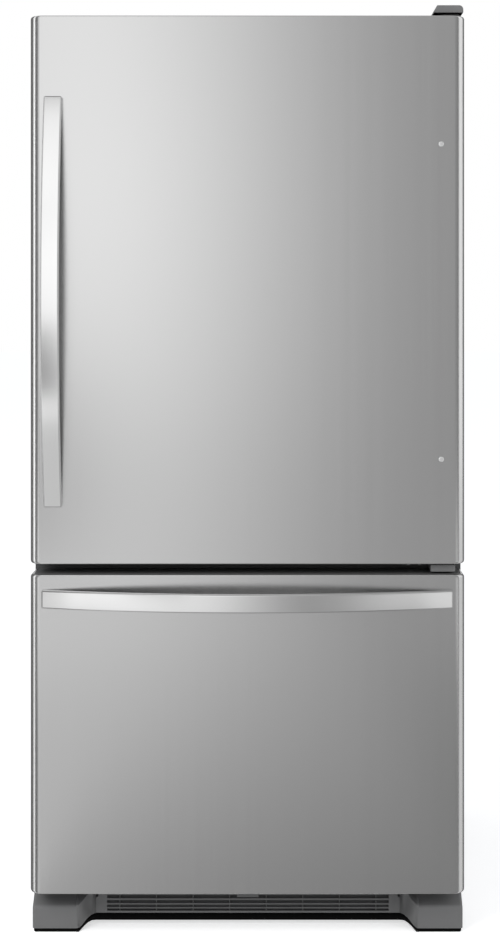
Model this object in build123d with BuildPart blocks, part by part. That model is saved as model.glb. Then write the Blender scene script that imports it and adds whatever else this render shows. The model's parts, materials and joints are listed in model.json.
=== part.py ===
"""A bottom freezer refrigerator: one hinged door above, one pull-out freezer drawer below.

Millimetres. +Z is up, the floor is z = 0, the doors face -Y and the origin is under the middle
of the whole object, handles included.
"""

from build123d import *
from math import sqrt
import os

os.makedirs("parts", exist_ok=True)

# ---------------------------------------------------------------- driving dimensions
# Overall
cabinet_width = 829.0
cabinet_height = 1749.0  # floor to the top of the painted cabinet
cabinet_depth = 716.0  # without the doors
door_depth = 78.0
gasket_gap = 12.0  # between a closed door's back and the cabinet's front
handle_reach = 61.0  # how far a handle stands out in front of its door

# Sheets and insulation
steel = 1.0
liner_wall = 2.0
side_insulation = 46.0
top_insulation = 56.0
back_insulation = 60.0
floor_insulation = 56.0
machine_insulation = 54.0
front_return = 45.0  # the steel cabinet's folded front edge, which the gaskets hold to

# Fronts
front_side_inset = 1.0  # a front is this much narrower than the cabinet, each side
front_bullnose = 20.0  # round of a front's vertical edges
front_corner = 6.0  # round of a front's corners, seen from the front
freezer_front_bottom = 85.0
freezer_front_height = 606.0
fronts_gap = 20.0
door_over_cabinet = 3.5  # door's top above the painted cabinet's
cap_height = 12.0
cap_lip = 3.0  # the part of an end cap that shows past the steel
mullion_height = 78.0

# Gaskets
gasket_width = 22.0
gasket_side_margin = 21.5
gasket_top_margin = 17.0
gasket_rail_margin = 6.0  # along the middle rail and along the floor
gasket_clearance = 0.3
gasket_edge = 2.0

# Door swing
hinge_side_inset = 26.5  # pin axis to the door's side
hinge_back_inset = 34.0  # pin axis to the door's back
pin_radius = 6.0
pin_clearance = 0.1
pin_bite = 9.0  # how deep a pin goes into an end cap

# Handles
handle_length = 778.0
handle_width = 34.0
handle_thickness = 13.0
handle_edge = 2.5
handle_side_inset = 45.5  # bar's middle to the door's side
handle_post_spacing = 598.0
handle_post_radius = 7.0
door_handle_drop = 543.2  # door's top to the bar's middle
freezer_handle_drop = 44.7  # drawer front's top to the bar's middle
plug_radius = 3.4
plug_stem_radius = 2.0
plug_height = 1.4

# Top hinge and its cover
hinge_plate = 4.0
hinge_plate_half = 20.0
hinge_plate_length = 108.0
hinge_plate_nose = 14.0  # in front of the pin
hinge_cover_height = 26.0
hinge_cover_width = 63.0
hinge_cover_side_inset = 2.5
hinge_cover_setback = 18.0  # behind the door's front
hinge_cover_length = 190.0
hinge_cover_wall = 2.0
hinge_cover_slope = 13.0
hinge_cover_round = 8.0
hinge_cover_skirt_gap = 2.0  # above the door's top
hinge_cover_front_gap = 7.9
hinge_lift = 3.0  # plate's underside above the door's top
screw_radius = 3.0
screw_head_radius = 6.0
screw_head_height = 3.0

# Centre hinge
center_hinge_setback = 12.0
center_hinge_left = 38.5  # arm's left side to the pin
center_hinge_right = 9.0
center_hinge_height = 13.0
center_hinge_lift = 3.0  # arm's top below the door's bottom
center_hinge_wall = 3.0
center_hinge_flange = 48.0  # how far the screwed flange runs on past the arm

# Base
cabinet_floor = 60.0  # underside of the insulated box above the floor
side_skirt_bottom = 30.0
machine_depth = 243.0
machine_height = 320.0
grille_setback = 72.0  # behind the fronts
grille_wall = 2.5
grille_top = 82.0
grille_bottom = 21.7
toe_setback = 35.0
base_side_inset = 3.5  # grille and toes are this much narrower than the cabinet, each side
toe_width = 88.0
toe_top = 48.8
toe_bottom = 7.2
toe_slope = 22.0
toe_wall = 3.0
toe_side_taper = 8.0
toe_pad_depth = 14.0
slot_half_length = 273.0
slot_count = 4
slot_first = 55.0
slot_pitch = 9.8
slot_height = 6.4
slot_shrink = 0.86  # each slot and its spacing against the one above
grille_rib_spacing = 71.0
grille_rib_pairs = 4
grille_rib = 1.6
grille_screw_x = 296.0
grille_screw_z = 59.0
grille_screw_radius = 6.0
grille_tab_half = 21.0
rail_drop = 12.0  # black front rail below the grille
rail_wall = 2.0
frame_rail_width = 16.0
deck_height = 46.0
deck_plate = 2.0
leg_radius = 6.0
leg_pad_radius = 18.0
leg_pad_height = 6.0
leg_height = 58.0
leg_side_inset = 46.0
leg_setback = 104.0  # leg's middle behind the fronts
leg_clearance = 0.1
roller_radius = 22.0
roller_width = 18.0
roller_side_inset = 64.0
roller_back_inset = 46.0
roller_axle = 4.0
roller_axle_clearance = 0.08
roller_ear = 4.0
roller_side_clearance = 1.5

# Machine compartment
compressor_radius = 72.0
compressor_height = 150.0
compressor_side_inset = 159.5  # its middle to the cabinet's side
compressor_foot = 150.0
grommet_height = 12.0
grommet_radius = 11.0
tube_radius = 3.2
coil_passes = 8
coil_rows = 3
coil_pitch = 24.0
coil_row_pitch = 28.0
coil_x = 115.0
coil_half_length = 95.0
coil_lift = 34.0
fin_count = 13
fin_thickness = 1.2
fan_radius = 68.0
fan_hub_radius = 18.0
fan_blades = 5
fan_blade_thickness = 2.0
fan_x = -75.0
fan_centre_height = 150.0
fan_depth = 26.0
fan_shaft_radius = 3.0
fan_shaft_clearance = 0.1
fan_spoke = 3.0
fan_spoke_width = 8.0
fan_tip_gap = 6.0
fan_rim = 8.0
fan_rake = 38.0
motor_bore = 22.0
motor_radius = 26.0
motor_length = 42.0
pan_height = 26.0
pan_wall = 2.0
pan_half_length = 62.0
pan_half_width = 85.0
louvre_rows = 7
louvre_lift = 40.0
louvre_middle = 190.0
louvre_half = 150.0
louvre_height = 5.0
louvre_pitch = 22.0
gland_side_inset = 64.5
gland_z = 270.0
gland_radius = 14.0
gland_neck = 9.0
gland_bore = 4.0
gland_flange = 4.0

# Fresh food compartment
shelf_depth = 470.0
shelf_back_gap = 28.0
shelf_frame_width = 24.0
shelf_frame_height = 20.0
shelf_side_gap = 4.0
shelf_rib = 12.0
shelf_rib_height = 10.0
glass = 4.0
glass_clearance = 0.3
glass_ledge = 12.0
crisper_shelf_lift = 206.0
shelf_lifts = (crisper_shelf_lift, 455.0, 705.0)
crisper_height = 186.0
crisper_wall = 3.0
crisper_front_setback = 112.0  # behind the cabinet's front
crisper_back_gap = 63.0  # to the compartment's back
crisper_gap = 6.0
crisper_side_inset = 30.0  # crisper's side to the compartment's wall
crisper_clearance = 0.5
crisper_floor_clearance = 0.3
guide_height = 24.0
crisper_grip = 14.0
crisper_face = 8.0
crisper_corner = 12.0
slider_width = 40.0
slider_height = 11.0
slider_depth = 5.0
slider_travel = 34.0
slider_gap = 0.3
slider_tab = 14.0
slider_drop = 34.0
duct_half_width = 92.0
duct_depth = 20.0
duct_wall = 2.0
duct_margin = 60.0
duct_slots = 7
duct_slot_height = 9.0
control_half_width = 170.0
control_depth = 190.0
control_height = 34.0
control_setback = 195.0
control_wall = 2.0
knob_radius = 15.0
knob_length = 14.0
knob_shaft_radius = 4.0
knob_clearance = 0.1
knob_gap = 0.5
knob_shaft_length = 8.0
knob_pointer = 3.0
light_half_width = 90.0
light_depth = 80.0
light_height = 16.0
light_gap = 8.0
switch_radius = 4.0
switch_clearance = 0.3
switch_x = 205.0
switch_length = 34.0

# Door's inside
dike_height = 22.0
dike_width = 18.0
dike_gap = 5.5  # to the compartment's wall when shut
rib_depth = 62.0
rib_width = 15.0
rib_side_gap = 11.0  # to the compartment's wall when shut
bin_wall = 2.5
bin_depth = 86.0
bin_height = 105.0
bin_clearance = 0.5
bin_corner = 14.0
lug_size = 9.0
lowest_bin_lift = 40.0
lug_rows = 77  # lug places up the door's ribs, from the lowest bin to the dairy box
bin_rows = (0, 26, 50)  # the places that the bins hang on
dairy_height = 112.0
dairy_top_gap = 26.0
dairy_lip = 24.0
dairy_pin_radius = 3.0
dairy_pin_clearance = 0.1
dairy_lid_gap = 0.8
lid_thickness = 2.5
lid_barrel = 5.0

# Freezer's inside
freezer_basket_height = 120.0
freezer_basket_drop = 105.0  # compartment's ceiling to the basket's rim
freezer_basket_front_gap = 30.0
freezer_basket_back_gap = 42.5  # to the evaporator's cover
freezer_basket_wall = 3.0
freezer_rib = 12.0
slot_pattern = 5
slide_height = 36.0
slide_web = 1.5
slide_flange = 12.0
slide_gap = 0.3
slide_lift = 20.0  # machine step's top to the slides' middle
slide_back_gap = 66.5  # to the evaporator's cover
slide_front_gap = 6.0
arm_plate = 2.0
arm_ledge = 10.0
arm_drop = 30.0  # slides' middle to the ledge that carries the bin
arm_tab = 60.0
tie_height = 10.0
lower_bin_back_gap = 8.0
lower_bin_front_gap = 4.0
lower_bin_floor_gap = 12.0
lower_bin_wall = 3.0
rim_overlap = 0.5
evaporator_depth = 78.0
evaporator_cover_wall = 2.5
evaporator_fan_radius = 52.0
evaporator_fan_drop = 75.0
evaporator_lift = 10.0
evaporator_passes = 6
evaporator_rows = 2
evaporator_half_length = 310.0
return_slots = 4
return_lift = 14.0
return_pitch = 14.0
return_height = 6.0
bin_slot_lift = 30.0
bin_slot_height = 40.0
basket_clearance = 0.3
basket_side_gap = 2.0

# ---------------------------------------------------------------- derived places
half_cabinet = cabinet_width / 2
total_depth = handle_reach + door_depth + gasket_gap + cabinet_depth
rear_y = total_depth / 2
cabinet_front_y = rear_y - cabinet_depth
door_back_y = cabinet_front_y - gasket_gap
door_front_y = door_back_y - door_depth
half_front = half_cabinet - front_side_inset
half_base = half_cabinet - base_side_inset

freezer_front_top = freezer_front_bottom + freezer_front_height
door_bottom = freezer_front_top + fronts_gap
door_top = cabinet_height + door_over_cabinet
door_height = door_top - door_bottom
mullion_middle = freezer_front_top + fronts_gap / 2
mullion_bottom = mullion_middle - mullion_height / 2
mullion_top = mullion_middle + mullion_height / 2

liner_half = half_cabinet - steel - side_insulation  # outside of both liners
room_half = liner_half - liner_wall  # inside of both compartments
room_back_y = rear_y - steel - back_insulation - liner_wall
fridge_floor = mullion_top + liner_wall
fridge_ceiling = cabinet_height - steel - top_insulation - liner_wall
freezer_ceiling = mullion_bottom - liner_wall
freezer_floor = cabinet_floor + floor_insulation + liner_wall
machine_front_y = rear_y - machine_depth
step_y = machine_front_y - machine_insulation  # front of the freezer's rear step
step_top = machine_height + machine_insulation

hinge_x = half_front - hinge_side_inset
hinge_y = door_back_y - hinge_back_inset
shelf_back_y = room_back_y - shelf_back_gap
shelf_front_y = shelf_back_y - shelf_depth
shelf_half = room_half - shelf_side_gap
rib_outer = room_half - rib_side_gap
bin_half = rib_outer - rib_width - bin_clearance
bin_back_y = door_back_y + bin_depth
dairy_bottom = fridge_ceiling - dairy_top_gap - dairy_height
lug_pitch = (dairy_bottom - fridge_floor - lowest_bin_lift) / lug_rows
bin_lifts = [lowest_bin_lift + row * lug_pitch for row in bin_rows]
door_handle_z = door_top - door_handle_drop
freezer_handle_z = freezer_front_top - freezer_handle_drop
handle_x = -(half_front - handle_side_inset)
post_half = handle_post_spacing / 2
grille_y = door_front_y + grille_setback
toe_y = door_front_y + toe_setback
evaporator_front_y = room_back_y - evaporator_depth - evaporator_cover_wall
slide_z = step_top + slide_lift
slide_front_y = cabinet_front_y + slide_front_gap
slide_back_y = evaporator_front_y - slide_back_gap
slide_length = slide_back_y - slide_front_y
arm_x = room_half - slide_flange - slide_web  # outer face of the drawer's side arms
arm_inner = arm_x - arm_plate
freezer_bin_half = arm_inner - arm_ledge - rim_overlap
freezer_bin_front = door_back_y + dike_height + lower_bin_front_gap
freezer_bin_back = step_y - lower_bin_back_gap
dike_half = room_half - dike_gap
freezer_dike_half = freezer_bin_half - lower_bin_wall
crisper_outer = room_half - crisper_side_inset
crisper_front_y = cabinet_front_y + crisper_front_setback
crisper_length = room_back_y - crisper_back_gap - crisper_front_y
machine_middle_y = rear_y - machine_depth / 2
compressor_x = compressor_side_inset - half_cabinet
gland_x = gland_side_inset - half_cabinet
switch_z = (fridge_ceiling + cabinet_height - front_return) / 2
switch_tip_y = door_back_y + gasket_clearance
leg_x = half_base - leg_side_inset
leg_y = door_front_y + leg_setback


def block(x, y, z, mode=Mode.ADD):
    """A box between two planes on each axis, in the part being built."""
    with Locations(((x[0] + x[1]) / 2, (y[0] + y[1]) / 2, (z[0] + z[1]) / 2)):
        Box(abs(x[1] - x[0]), abs(y[1] - y[0]), abs(z[1] - z[0]), mode=mode)


def rod(start, radius, length, along, mode=Mode.ADD):
    """A round bar from a point, along one axis, in the part being built."""
    with BuildSketch(Plane(origin=start, z_dir=along)) as section:
        Circle(radius)
    extrude(section.sketch, amount=length, mode=mode)


def save(part, name):
    """Labels a finished piece and writes it as its own file."""
    part.label = name
    export_step(part, f"parts/{name}.step")


def slot_places():
    """(middle, height) of each grille slot, closer and lower as the face rolls under."""
    places = []
    z = slot_first
    for number in range(slot_count):
        places.append((z, slot_height * slot_shrink**number))
        z -= slot_pitch * slot_shrink**number
    return places


# ---------------------------------------------------------------- cabinet
def cabinet_wrapper():
    """Painted steel sides and top, folded in at the front edge."""
    with BuildPart() as wrapper:
        block((-half_cabinet, half_cabinet), (cabinet_front_y, rear_y), (side_skirt_bottom, cabinet_height))
        block(
            (-half_cabinet + steel, half_cabinet - steel),
            (cabinet_front_y + steel, rear_y),
            (side_skirt_bottom, cabinet_height - steel),
            Mode.SUBTRACT,
        )
        block(
            (-half_cabinet + front_return, half_cabinet - front_return),
            (cabinet_front_y, cabinet_front_y + steel),
            (side_skirt_bottom, cabinet_height - front_return),
            Mode.SUBTRACT,
        )
        block(
            (-half_cabinet + steel, half_cabinet - steel),
            (cabinet_front_y, cabinet_front_y + steel),
            (side_skirt_bottom, cabinet_floor),
            Mode.SUBTRACT,
        )
    save(wrapper.part, "cabinet_wrapper")


def cabinet_back():
    """Flat steel back, above the machine compartment, with the supply cord's gland hole left blank."""
    with BuildPart() as back:
        block(
            (-half_cabinet + steel, half_cabinet - steel),
            (rear_y - steel, rear_y),
            (machine_height, cabinet_height - steel),
        )
    save(back.part, "cabinet_back")


def bottom_plate():
    """Folded steel sheet: the insulated box's floor, then up and over the machine compartment."""
    inner = half_cabinet - steel
    lip_half = half_cabinet - front_return
    with BuildPart() as plate:
        block(
            (-inner, inner),
            (cabinet_front_y + steel, machine_front_y),
            (cabinet_floor, cabinet_floor + steel),
        )
        block(
            (-lip_half, lip_half),
            (cabinet_front_y, cabinet_front_y + steel),
            (cabinet_floor, freezer_floor - liner_wall),
        )
        block(
            (-inner, inner), (machine_front_y - steel, machine_front_y), (cabinet_floor, machine_height)
        )
        block((-inner, inner), (machine_front_y - steel, rear_y), (machine_height - steel, machine_height))
    save(plate.part, "bottom_plate")


def freezer_section(grow):
    """Side outline of the freezer compartment, grown outwards."""
    with BuildSketch(Plane.YZ) as section:
        with BuildLine():
            Polyline(
                (cabinet_front_y, freezer_floor - grow),
                (step_y + grow, freezer_floor - grow),
                (step_y + grow, step_top - grow),
                (room_back_y + grow, step_top - grow),
                (room_back_y + grow, freezer_ceiling + grow),
                (cabinet_front_y, freezer_ceiling + grow),
                close=True,
            )
        make_face()
    return section.sketch


def cabinet_foam():
    """Foamed-in-place insulation between the steel shell and the two liners."""
    inner = half_cabinet - steel
    with BuildPart() as foam:
        block(
            (-inner, inner),
            (cabinet_front_y + liner_wall, rear_y - steel),
            (cabinet_floor + steel, cabinet_height - steel),
        )
        block(
            (-inner, inner), (machine_front_y - steel, rear_y), (cabinet_floor, machine_height), Mode.SUBTRACT
        )
        block(
            (-liner_half, liner_half),
            (cabinet_front_y, room_back_y + liner_wall),
            (fridge_floor - liner_wall, fridge_ceiling + liner_wall),
            Mode.SUBTRACT,
        )
        extrude(freezer_section(liner_wall), amount=liner_half, both=True, mode=Mode.SUBTRACT)
        rod(
            (switch_x, cabinet_front_y, switch_z),
            switch_radius + 2 * switch_clearance,
            switch_length + liner_wall,
            (0, 1, 0),
            Mode.SUBTRACT,
        )
    save(foam.part, "cabinet_foam")


def fridge_liner():
    """White moulded tub of the fresh food compartment, with its shelf ribs and front lip."""
    lip_half = half_cabinet - front_return
    with BuildPart() as liner:
        block(
            (-lip_half, lip_half),
            (cabinet_front_y, cabinet_front_y + liner_wall),
            (mullion_top, cabinet_height - front_return),
        )
        block(
            (-liner_half, liner_half),
            (cabinet_front_y, room_back_y + liner_wall),
            (fridge_floor - liner_wall, fridge_ceiling + liner_wall),
        )
        block(
            (-room_half, room_half),
            (cabinet_front_y, room_back_y),
            (fridge_floor, fridge_ceiling),
            Mode.SUBTRACT,
        )
        for lift in shelf_lifts:
            for side in (-1, 1):
                wall = side * room_half
                block(
                    (wall, wall - side * shelf_rib),
                    (shelf_front_y, shelf_back_y),
                    (fridge_floor + lift - shelf_rib_height, fridge_floor + lift),
                )
        guide = (fridge_floor, fridge_floor + guide_height)
        guide_y = (crisper_front_y, crisper_front_y + crisper_length)
        for side in (-1, 1):
            block((side * room_half, side * (crisper_outer + crisper_clearance)), guide_y, guide)
        middle = crisper_gap / 2 - crisper_clearance
        block((-middle, middle), guide_y, guide)
        rod(
            (switch_x, cabinet_front_y, switch_z),
            switch_radius + switch_clearance,
            liner_wall,
            (0, 1, 0),
            Mode.SUBTRACT,
        )
    save(liner.part, "fridge_liner")


def freezer_liner():
    """White moulded tub of the freezer, stepped over the machine compartment."""
    lip_half = half_cabinet - front_return
    rib_top = freezer_ceiling - freezer_basket_drop
    with BuildPart() as liner:
        block(
            (-lip_half, lip_half),
            (cabinet_front_y, cabinet_front_y + liner_wall),
            (freezer_floor - liner_wall, mullion_bottom),
        )
        extrude(freezer_section(liner_wall), amount=liner_half, both=True)
        extrude(freezer_section(0), amount=room_half, both=True, mode=Mode.SUBTRACT)
        for side in (-1, 1):
            wall = side * room_half
            block(
                (wall, wall - side * freezer_rib),
                (cabinet_front_y + freezer_basket_front_gap, evaporator_front_y),
                (rib_top - shelf_rib_height, rib_top),
            )
    save(liner.part, "freezer_liner")


def center_mullion():
    """Dark steel rail between the two openings."""
    lip_half = half_cabinet - front_return
    with BuildPart() as mullion:
        block(
            (-lip_half, lip_half),
            (cabinet_front_y, cabinet_front_y + liner_wall),
            (mullion_bottom, mullion_top),
        )
    save(mullion.part, "center_mullion")


# ---------------------------------------------------------------- base
def grille_outline(y, drop):
    """Front view of the base panel: level in the middle, curving down to a toe at each end."""
    inner = half_base - toe_width
    low = grille_bottom - drop
    bend = grille_bottom - toe_bottom
    middle = (toe_bottom + low) / 2
    with BuildSketch(Plane.XZ.offset(-y)) as outline:
        with BuildLine():
            Polyline(
                (-inner, toe_bottom),
                (-half_base, toe_bottom),
                (-half_base, grille_top),
                (half_base, grille_top),
                (half_base, toe_bottom),
                (inner, toe_bottom),
            )
            Spline(
                (inner, toe_bottom),
                (inner - bend * 0.9, middle),
                (inner - bend * 1.9, low),
                tangents=((-0.4, 1), (-1, 0)),
            )
            Line((inner - bend * 1.9, low), (-inner + bend * 1.9, low))
            Spline(
                (-inner + bend * 1.9, low),
                (-inner + bend * 0.9, middle),
                (-inner, toe_bottom),
                tangents=((-1, 0), (-0.4, -1)),
            )
        make_face()
    return outline.sketch


def base_grille():
    """Grey moulded kick panel with air slots and a hollow toe at each end that hides a levelling leg."""
    toe_depth = grille_y - toe_y + grille_wall
    inner = half_base - toe_width
    with BuildPart() as grille:
        extrude(grille_outline(grille_y, 0), amount=-grille_wall)
        for side in (-1, 1):
            for grow, mode in ((0, Mode.ADD), (toe_wall, Mode.SUBTRACT)):
                with BuildSketch(Plane.YZ.offset(side * (half_base - grow))):
                    with BuildLine():
                        Polyline(
                            (grille_y + grille_wall, toe_bottom),
                            (toe_y + grow, toe_bottom),
                            (toe_y + grow, toe_top - grow / 2),
                            (grille_y + grille_wall, toe_top + toe_slope - grow),
                            close=True,
                        )
                    make_face()
                extrude(amount=-side * (toe_width - 2 * grow), mode=mode)
        for z, height in slot_places():
            block(
                (-slot_half_length, slot_half_length),
                (grille_y - 1, grille_y + 2 * grille_wall),
                (z - height / 2, z + height / 2),
                Mode.SUBTRACT,
            )
        low = slot_places()[-1][0] - slot_height
        for number in range(grille_rib_pairs):
            for side in (-1, 1):
                x = side * grille_rib_spacing * (number + 0.5)
                block(
                    (x - grille_rib / 2, x + grille_rib / 2),
                    (grille_y + grille_wall / 2, grille_y + 3 * grille_wall),
                    (low, grille_top),
                )
        block(
            (-grille_tab_half, grille_tab_half),
            (grille_y - 1, grille_y + grille_wall),
            (slot_first - slot_height / 6, grille_top),
        )
        for side in (-1, 1):
            rod(
                (side * grille_screw_x, grille_y - 1, grille_screw_z),
                grille_screw_radius,
                grille_wall + 2,
                (0, 1, 0),
                Mode.SUBTRACT,
            )
        toe_edges = (
            grille.edges()
            .filter_by(Axis.Z)
            .group_by(Axis.Y)[0]
        )
        fillet(toe_edges, toe_wall - 0.5)
    save(grille.part, "base_grille")


def toe_pads():
    """Black glides under the toes."""
    with BuildPart() as pads:
        for side in (-1, 1):
            outer = side * (half_base - 1)
            inner = side * (half_base - toe_width + toe_side_taper / 2)
            block(
                (outer, inner),
                (toe_y + 1, toe_y + 1 + toe_pad_depth),
                (0, toe_bottom),
            )
        corners = pads.edges().filter_by(Axis.Y).group_by(Axis.Z)[0]
        fillet(corners, toe_bottom * 0.55)
    save(pads.part, "toe_pads")


def base_frame():
    """Black steel chassis: front rail, side rails, rear deck, leg nuts and roller ears."""
    inner = half_cabinet - steel
    rail_front = grille_y + 3 * grille_wall
    deck = (deck_height - deck_plate, deck_height)
    with BuildPart() as frame:
        extrude(grille_outline(rail_front, rail_drop), amount=-rail_wall)
        block(
            (-half_cabinet, half_cabinet),
            (rail_front, rail_front + rail_wall),
            (cabinet_floor, grille_top),
            Mode.SUBTRACT,
        )
        for side in (-1, 1):
            x = side * inner
            block(
                (x, x - side * frame_rail_width),
                (rail_front, rear_y - 2 * steel),
                (side_skirt_bottom, cabinet_floor),
            )
            block(
                (x, side * (leg_x - 2 * leg_radius)),
                (rail_front, leg_y + 3 * leg_radius),
                (deck_height - deck_plate, cabinet_floor),
            )
            rod(
                (side * leg_x, leg_y, 0),
                leg_radius + leg_clearance,
                cabinet_floor * 2,
                (0, 0, 1),
                Mode.SUBTRACT,
            )
        block((-inner, inner), (machine_front_y, rear_y - 2 * steel), deck)
        for side in (-1, 1):
            x = side * (half_cabinet - roller_side_inset)
            y = rear_y - roller_back_inset
            reach = roller_width / 2 + roller_side_clearance
            block(
                (x - reach - roller_ear, x + reach + roller_ear),
                (y - roller_radius - 4, y + roller_radius + 4),
                (0, cabinet_floor),
                Mode.SUBTRACT,
            )
            for ear in (-1, 1):
                start = x + ear * reach
                block(
                    (start, start + ear * roller_ear),
                    (y - roller_radius - 4, y + roller_radius + 4),
                    (roller_radius - 2 * roller_axle, deck_height),
                )
            rod(
                (x - reach - roller_ear - 1, y, roller_radius),
                roller_axle + roller_axle_clearance,
                2 * (reach + roller_ear + 1),
                (1, 0, 0),
                Mode.SUBTRACT,
            )
    save(frame.part, "base_frame")


def leveling_leg(side, name):
    """Threaded leg that screws through the chassis, with its round pad."""
    with BuildPart() as leg:
        rod((side * leg_x, leg_y, 0), leg_pad_radius, leg_pad_height, (0, 0, 1))
        chamfer(leg.edges().group_by(Axis.Z)[-1], 1.5)
        rod((side * leg_x, leg_y, leg_pad_height), leg_radius, leg_height - leg_pad_height, (0, 0, 1))
    save(leg.part, name)


def rear_rollers():
    """Nylon rollers, each turned with its own axle stubs."""
    y = rear_y - roller_back_inset
    reach = roller_width / 2
    stub = reach + roller_side_clearance + roller_ear
    with BuildPart() as rollers:
        for side in (-1, 1):
            x = side * (half_cabinet - roller_side_inset)
            rod((x - reach, y, roller_radius), roller_radius, roller_width, (1, 0, 0))
            rod((x - stub, y, roller_radius), roller_axle, 2 * stub, (1, 0, 0))
        rims = rollers.edges().filter_by(GeomType.CIRCLE).filter_by(lambda edge: edge.radius > roller_axle)
        chamfer(rims, 1.5)
    save(rollers.part, "rear_rollers")


# ---------------------------------------------------------------- machine compartment
def compressor():
    """Hermetic compressor pot on its foot plate and rubber mounts."""
    y = machine_middle_y
    foot = deck_height + grommet_height
    half_foot = compressor_foot / 2
    with BuildPart() as pot:
        block(
            (compressor_x - half_foot, compressor_x + half_foot),
            (y - half_foot * 0.75, y + half_foot * 0.75),
            (foot, foot + 3),
        )
        rod((compressor_x, y, foot + 3), compressor_radius, compressor_height, (0, 0, 1))
        top = pot.edges().filter_by(GeomType.CIRCLE).group_by(Axis.Z)[-1]
        fillet(top, compressor_radius * 0.45)
        with Locations((compressor_x, y, foot + 3 + compressor_height * 0.55)):
            Cylinder(compressor_radius + 3, 6)
        block(
            (compressor_x + compressor_radius * 0.8, compressor_x + compressor_radius + 24),
            (y - 24, y + 24),
            (foot + 40, foot + 90),
        )
        for dx in (-1, 1):
            for dy in (-1, 1):
                rod(
                    (compressor_x + dx * (half_foot - 14), y + dy * (half_foot * 0.75 - 13), deck_height),
                    grommet_radius,
                    grommet_height,
                    (0, 0, 1),
                )
    save(pot.part, "compressor")


def finned_coil(middle, half_length, passes, rows, feet, name):
    """One serpentine tube, rising pass by pass and stepping back row by row, through upright fins."""
    x, y, z = middle
    y_first = y - coil_row_pitch * (rows - 1) / 2
    z_first = z - coil_pitch * (passes - 1) / 2
    points = []
    for row in range(rows):
        row_y = y_first + row * coil_row_pitch
        levels = range(passes) if row % 2 == 0 else reversed(range(passes))
        for step, level in enumerate(levels):
            side = 1 if (step + row * passes) % 2 == 0 else -1
            for end in (-side, side):
                points.append((x + end * half_length, row_y, z_first + level * coil_pitch))
    bend = min(coil_pitch, coil_row_pitch) / 2 - 0.5
    half_y = coil_row_pitch * (rows - 1) / 2 + coil_pitch / 2
    half_z = coil_pitch * passes / 2
    fin_reach = half_length - 2 * bend
    with BuildPart() as coil:
        with BuildLine() as path:
            FilletPolyline(*points, radius=bend)
        with BuildSketch(Plane(origin=path.line @ 0, z_dir=path.line % 0)):
            Circle(tube_radius)
        sweep()
        for number in range(fin_count):
            fin_x = x - fin_reach + 2 * fin_reach * number / (fin_count - 1)
            fin = (fin_x - fin_thickness / 2, fin_x + fin_thickness / 2)
            block(fin, (y - half_y, y + half_y), (z - half_z, z + half_z))
            if number in (0, fin_count - 1) and feet:
                block(fin, (y - half_y / 2, y + half_y / 2), (z - half_z - feet, z - half_z))
    save(coil.part, name)


def fan_shroud():
    """Square plastic shroud with the condenser fan's motor on three spokes."""
    y = machine_middle_y
    half = fan_radius + fan_tip_gap + fan_rim
    z = fan_centre_height
    frame_x = fan_x + fan_depth / 2 + fan_tip_gap
    with BuildPart() as shroud:
        block((fan_x - fan_depth / 2, frame_x), (y - half, y + half), (deck_height, z + half))
        rod(
            (fan_x - fan_depth / 2 - 1, y, z),
            fan_radius + fan_tip_gap,
            fan_depth + fan_tip_gap + 2,
            (1, 0, 0),
            Mode.SUBTRACT,
        )
        for turn in (0, 60, 120):
            with Locations(Location((frame_x - fan_spoke / 2, y, z), (turn, 0, 0))):
                Box(fan_spoke, 2 * (fan_radius + fan_tip_gap + 2), fan_spoke_width)
        rod((frame_x - fan_spoke, y, z), motor_radius, motor_length, (1, 0, 0))
        rod(
            (frame_x - fan_spoke - 1, y, z),
            fan_shaft_radius + fan_shaft_clearance,
            motor_bore + 1,
            (1, 0, 0),
            Mode.SUBTRACT,
        )
    save(shroud.part, "condenser_fan_shroud")


def fan_wheel(centre, axis, radius, motor_gap, name):
    """Hub, raked blades and a shaft stub that runs in the motor."""
    hub = Plane(origin=centre, z_dir=axis)
    with BuildPart() as fan:
        for number in range(fan_blades):
            turn = Location((0, 0, 0), (0, 0, 360 / fan_blades * number))
            lean = Location(((radius + fan_hub_radius) / 2 - 2, 0, 0), (fan_rake, 0, 0))
            with Locations(hub.location * turn * lean):
                Box(radius - fan_hub_radius + 4, fan_depth * 1.1, fan_blade_thickness)
        with BuildSketch(hub):
            Circle(radius)
        extrude(amount=fan_depth / 2, both=True, mode=Mode.INTERSECT)
        with BuildSketch(hub):
            Circle(fan_hub_radius)
        extrude(amount=fan_depth / 2, both=True)
        rod(centre, fan_shaft_radius, fan_depth / 2 + motor_gap + motor_bore - 2, axis)
    save(fan.part, name)


def drain_pan():
    """Shallow tray under the condenser that catches defrost water."""
    y = machine_middle_y
    with BuildPart() as pan:
        block(
            (coil_x - pan_half_length, coil_x + pan_half_length),
            (y - pan_half_width, y + pan_half_width),
            (deck_height, deck_height + pan_height),
        )
        fillet(pan.edges().filter_by(Axis.Z), 8)
        block(
            (coil_x - pan_half_length + pan_wall, coil_x + pan_half_length - pan_wall),
            (y - pan_half_width + pan_wall, y + pan_half_width - pan_wall),
            (deck_height + pan_wall, deck_height + pan_height + 1),
            Mode.SUBTRACT,
        )
    save(pan.part, "drain_pan")


def machine_cover():
    """Louvred steel cover over the back of the machine compartment, with a hole for the cord's gland."""
    inner = half_cabinet - steel
    with BuildPart() as cover:
        block((-inner, inner), (rear_y - steel, rear_y), (cabinet_floor, machine_height - 2 * steel))
        for number in range(louvre_rows):
            z = cabinet_floor + louvre_lift + number * louvre_pitch
            for side in (-1, 1):
                x = side * louvre_middle
                block(
                    (x - louvre_half, x + louvre_half),
                    (rear_y - 2 * steel, rear_y + steel),
                    (z - louvre_height / 2, z + louvre_height / 2),
                    Mode.SUBTRACT,
                )
        rod((gland_x, rear_y - 2 * steel, gland_z), gland_neck, 4 * steel, (0, 1, 0), Mode.SUBTRACT)
    save(cover.part, "machine_cover")


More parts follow.
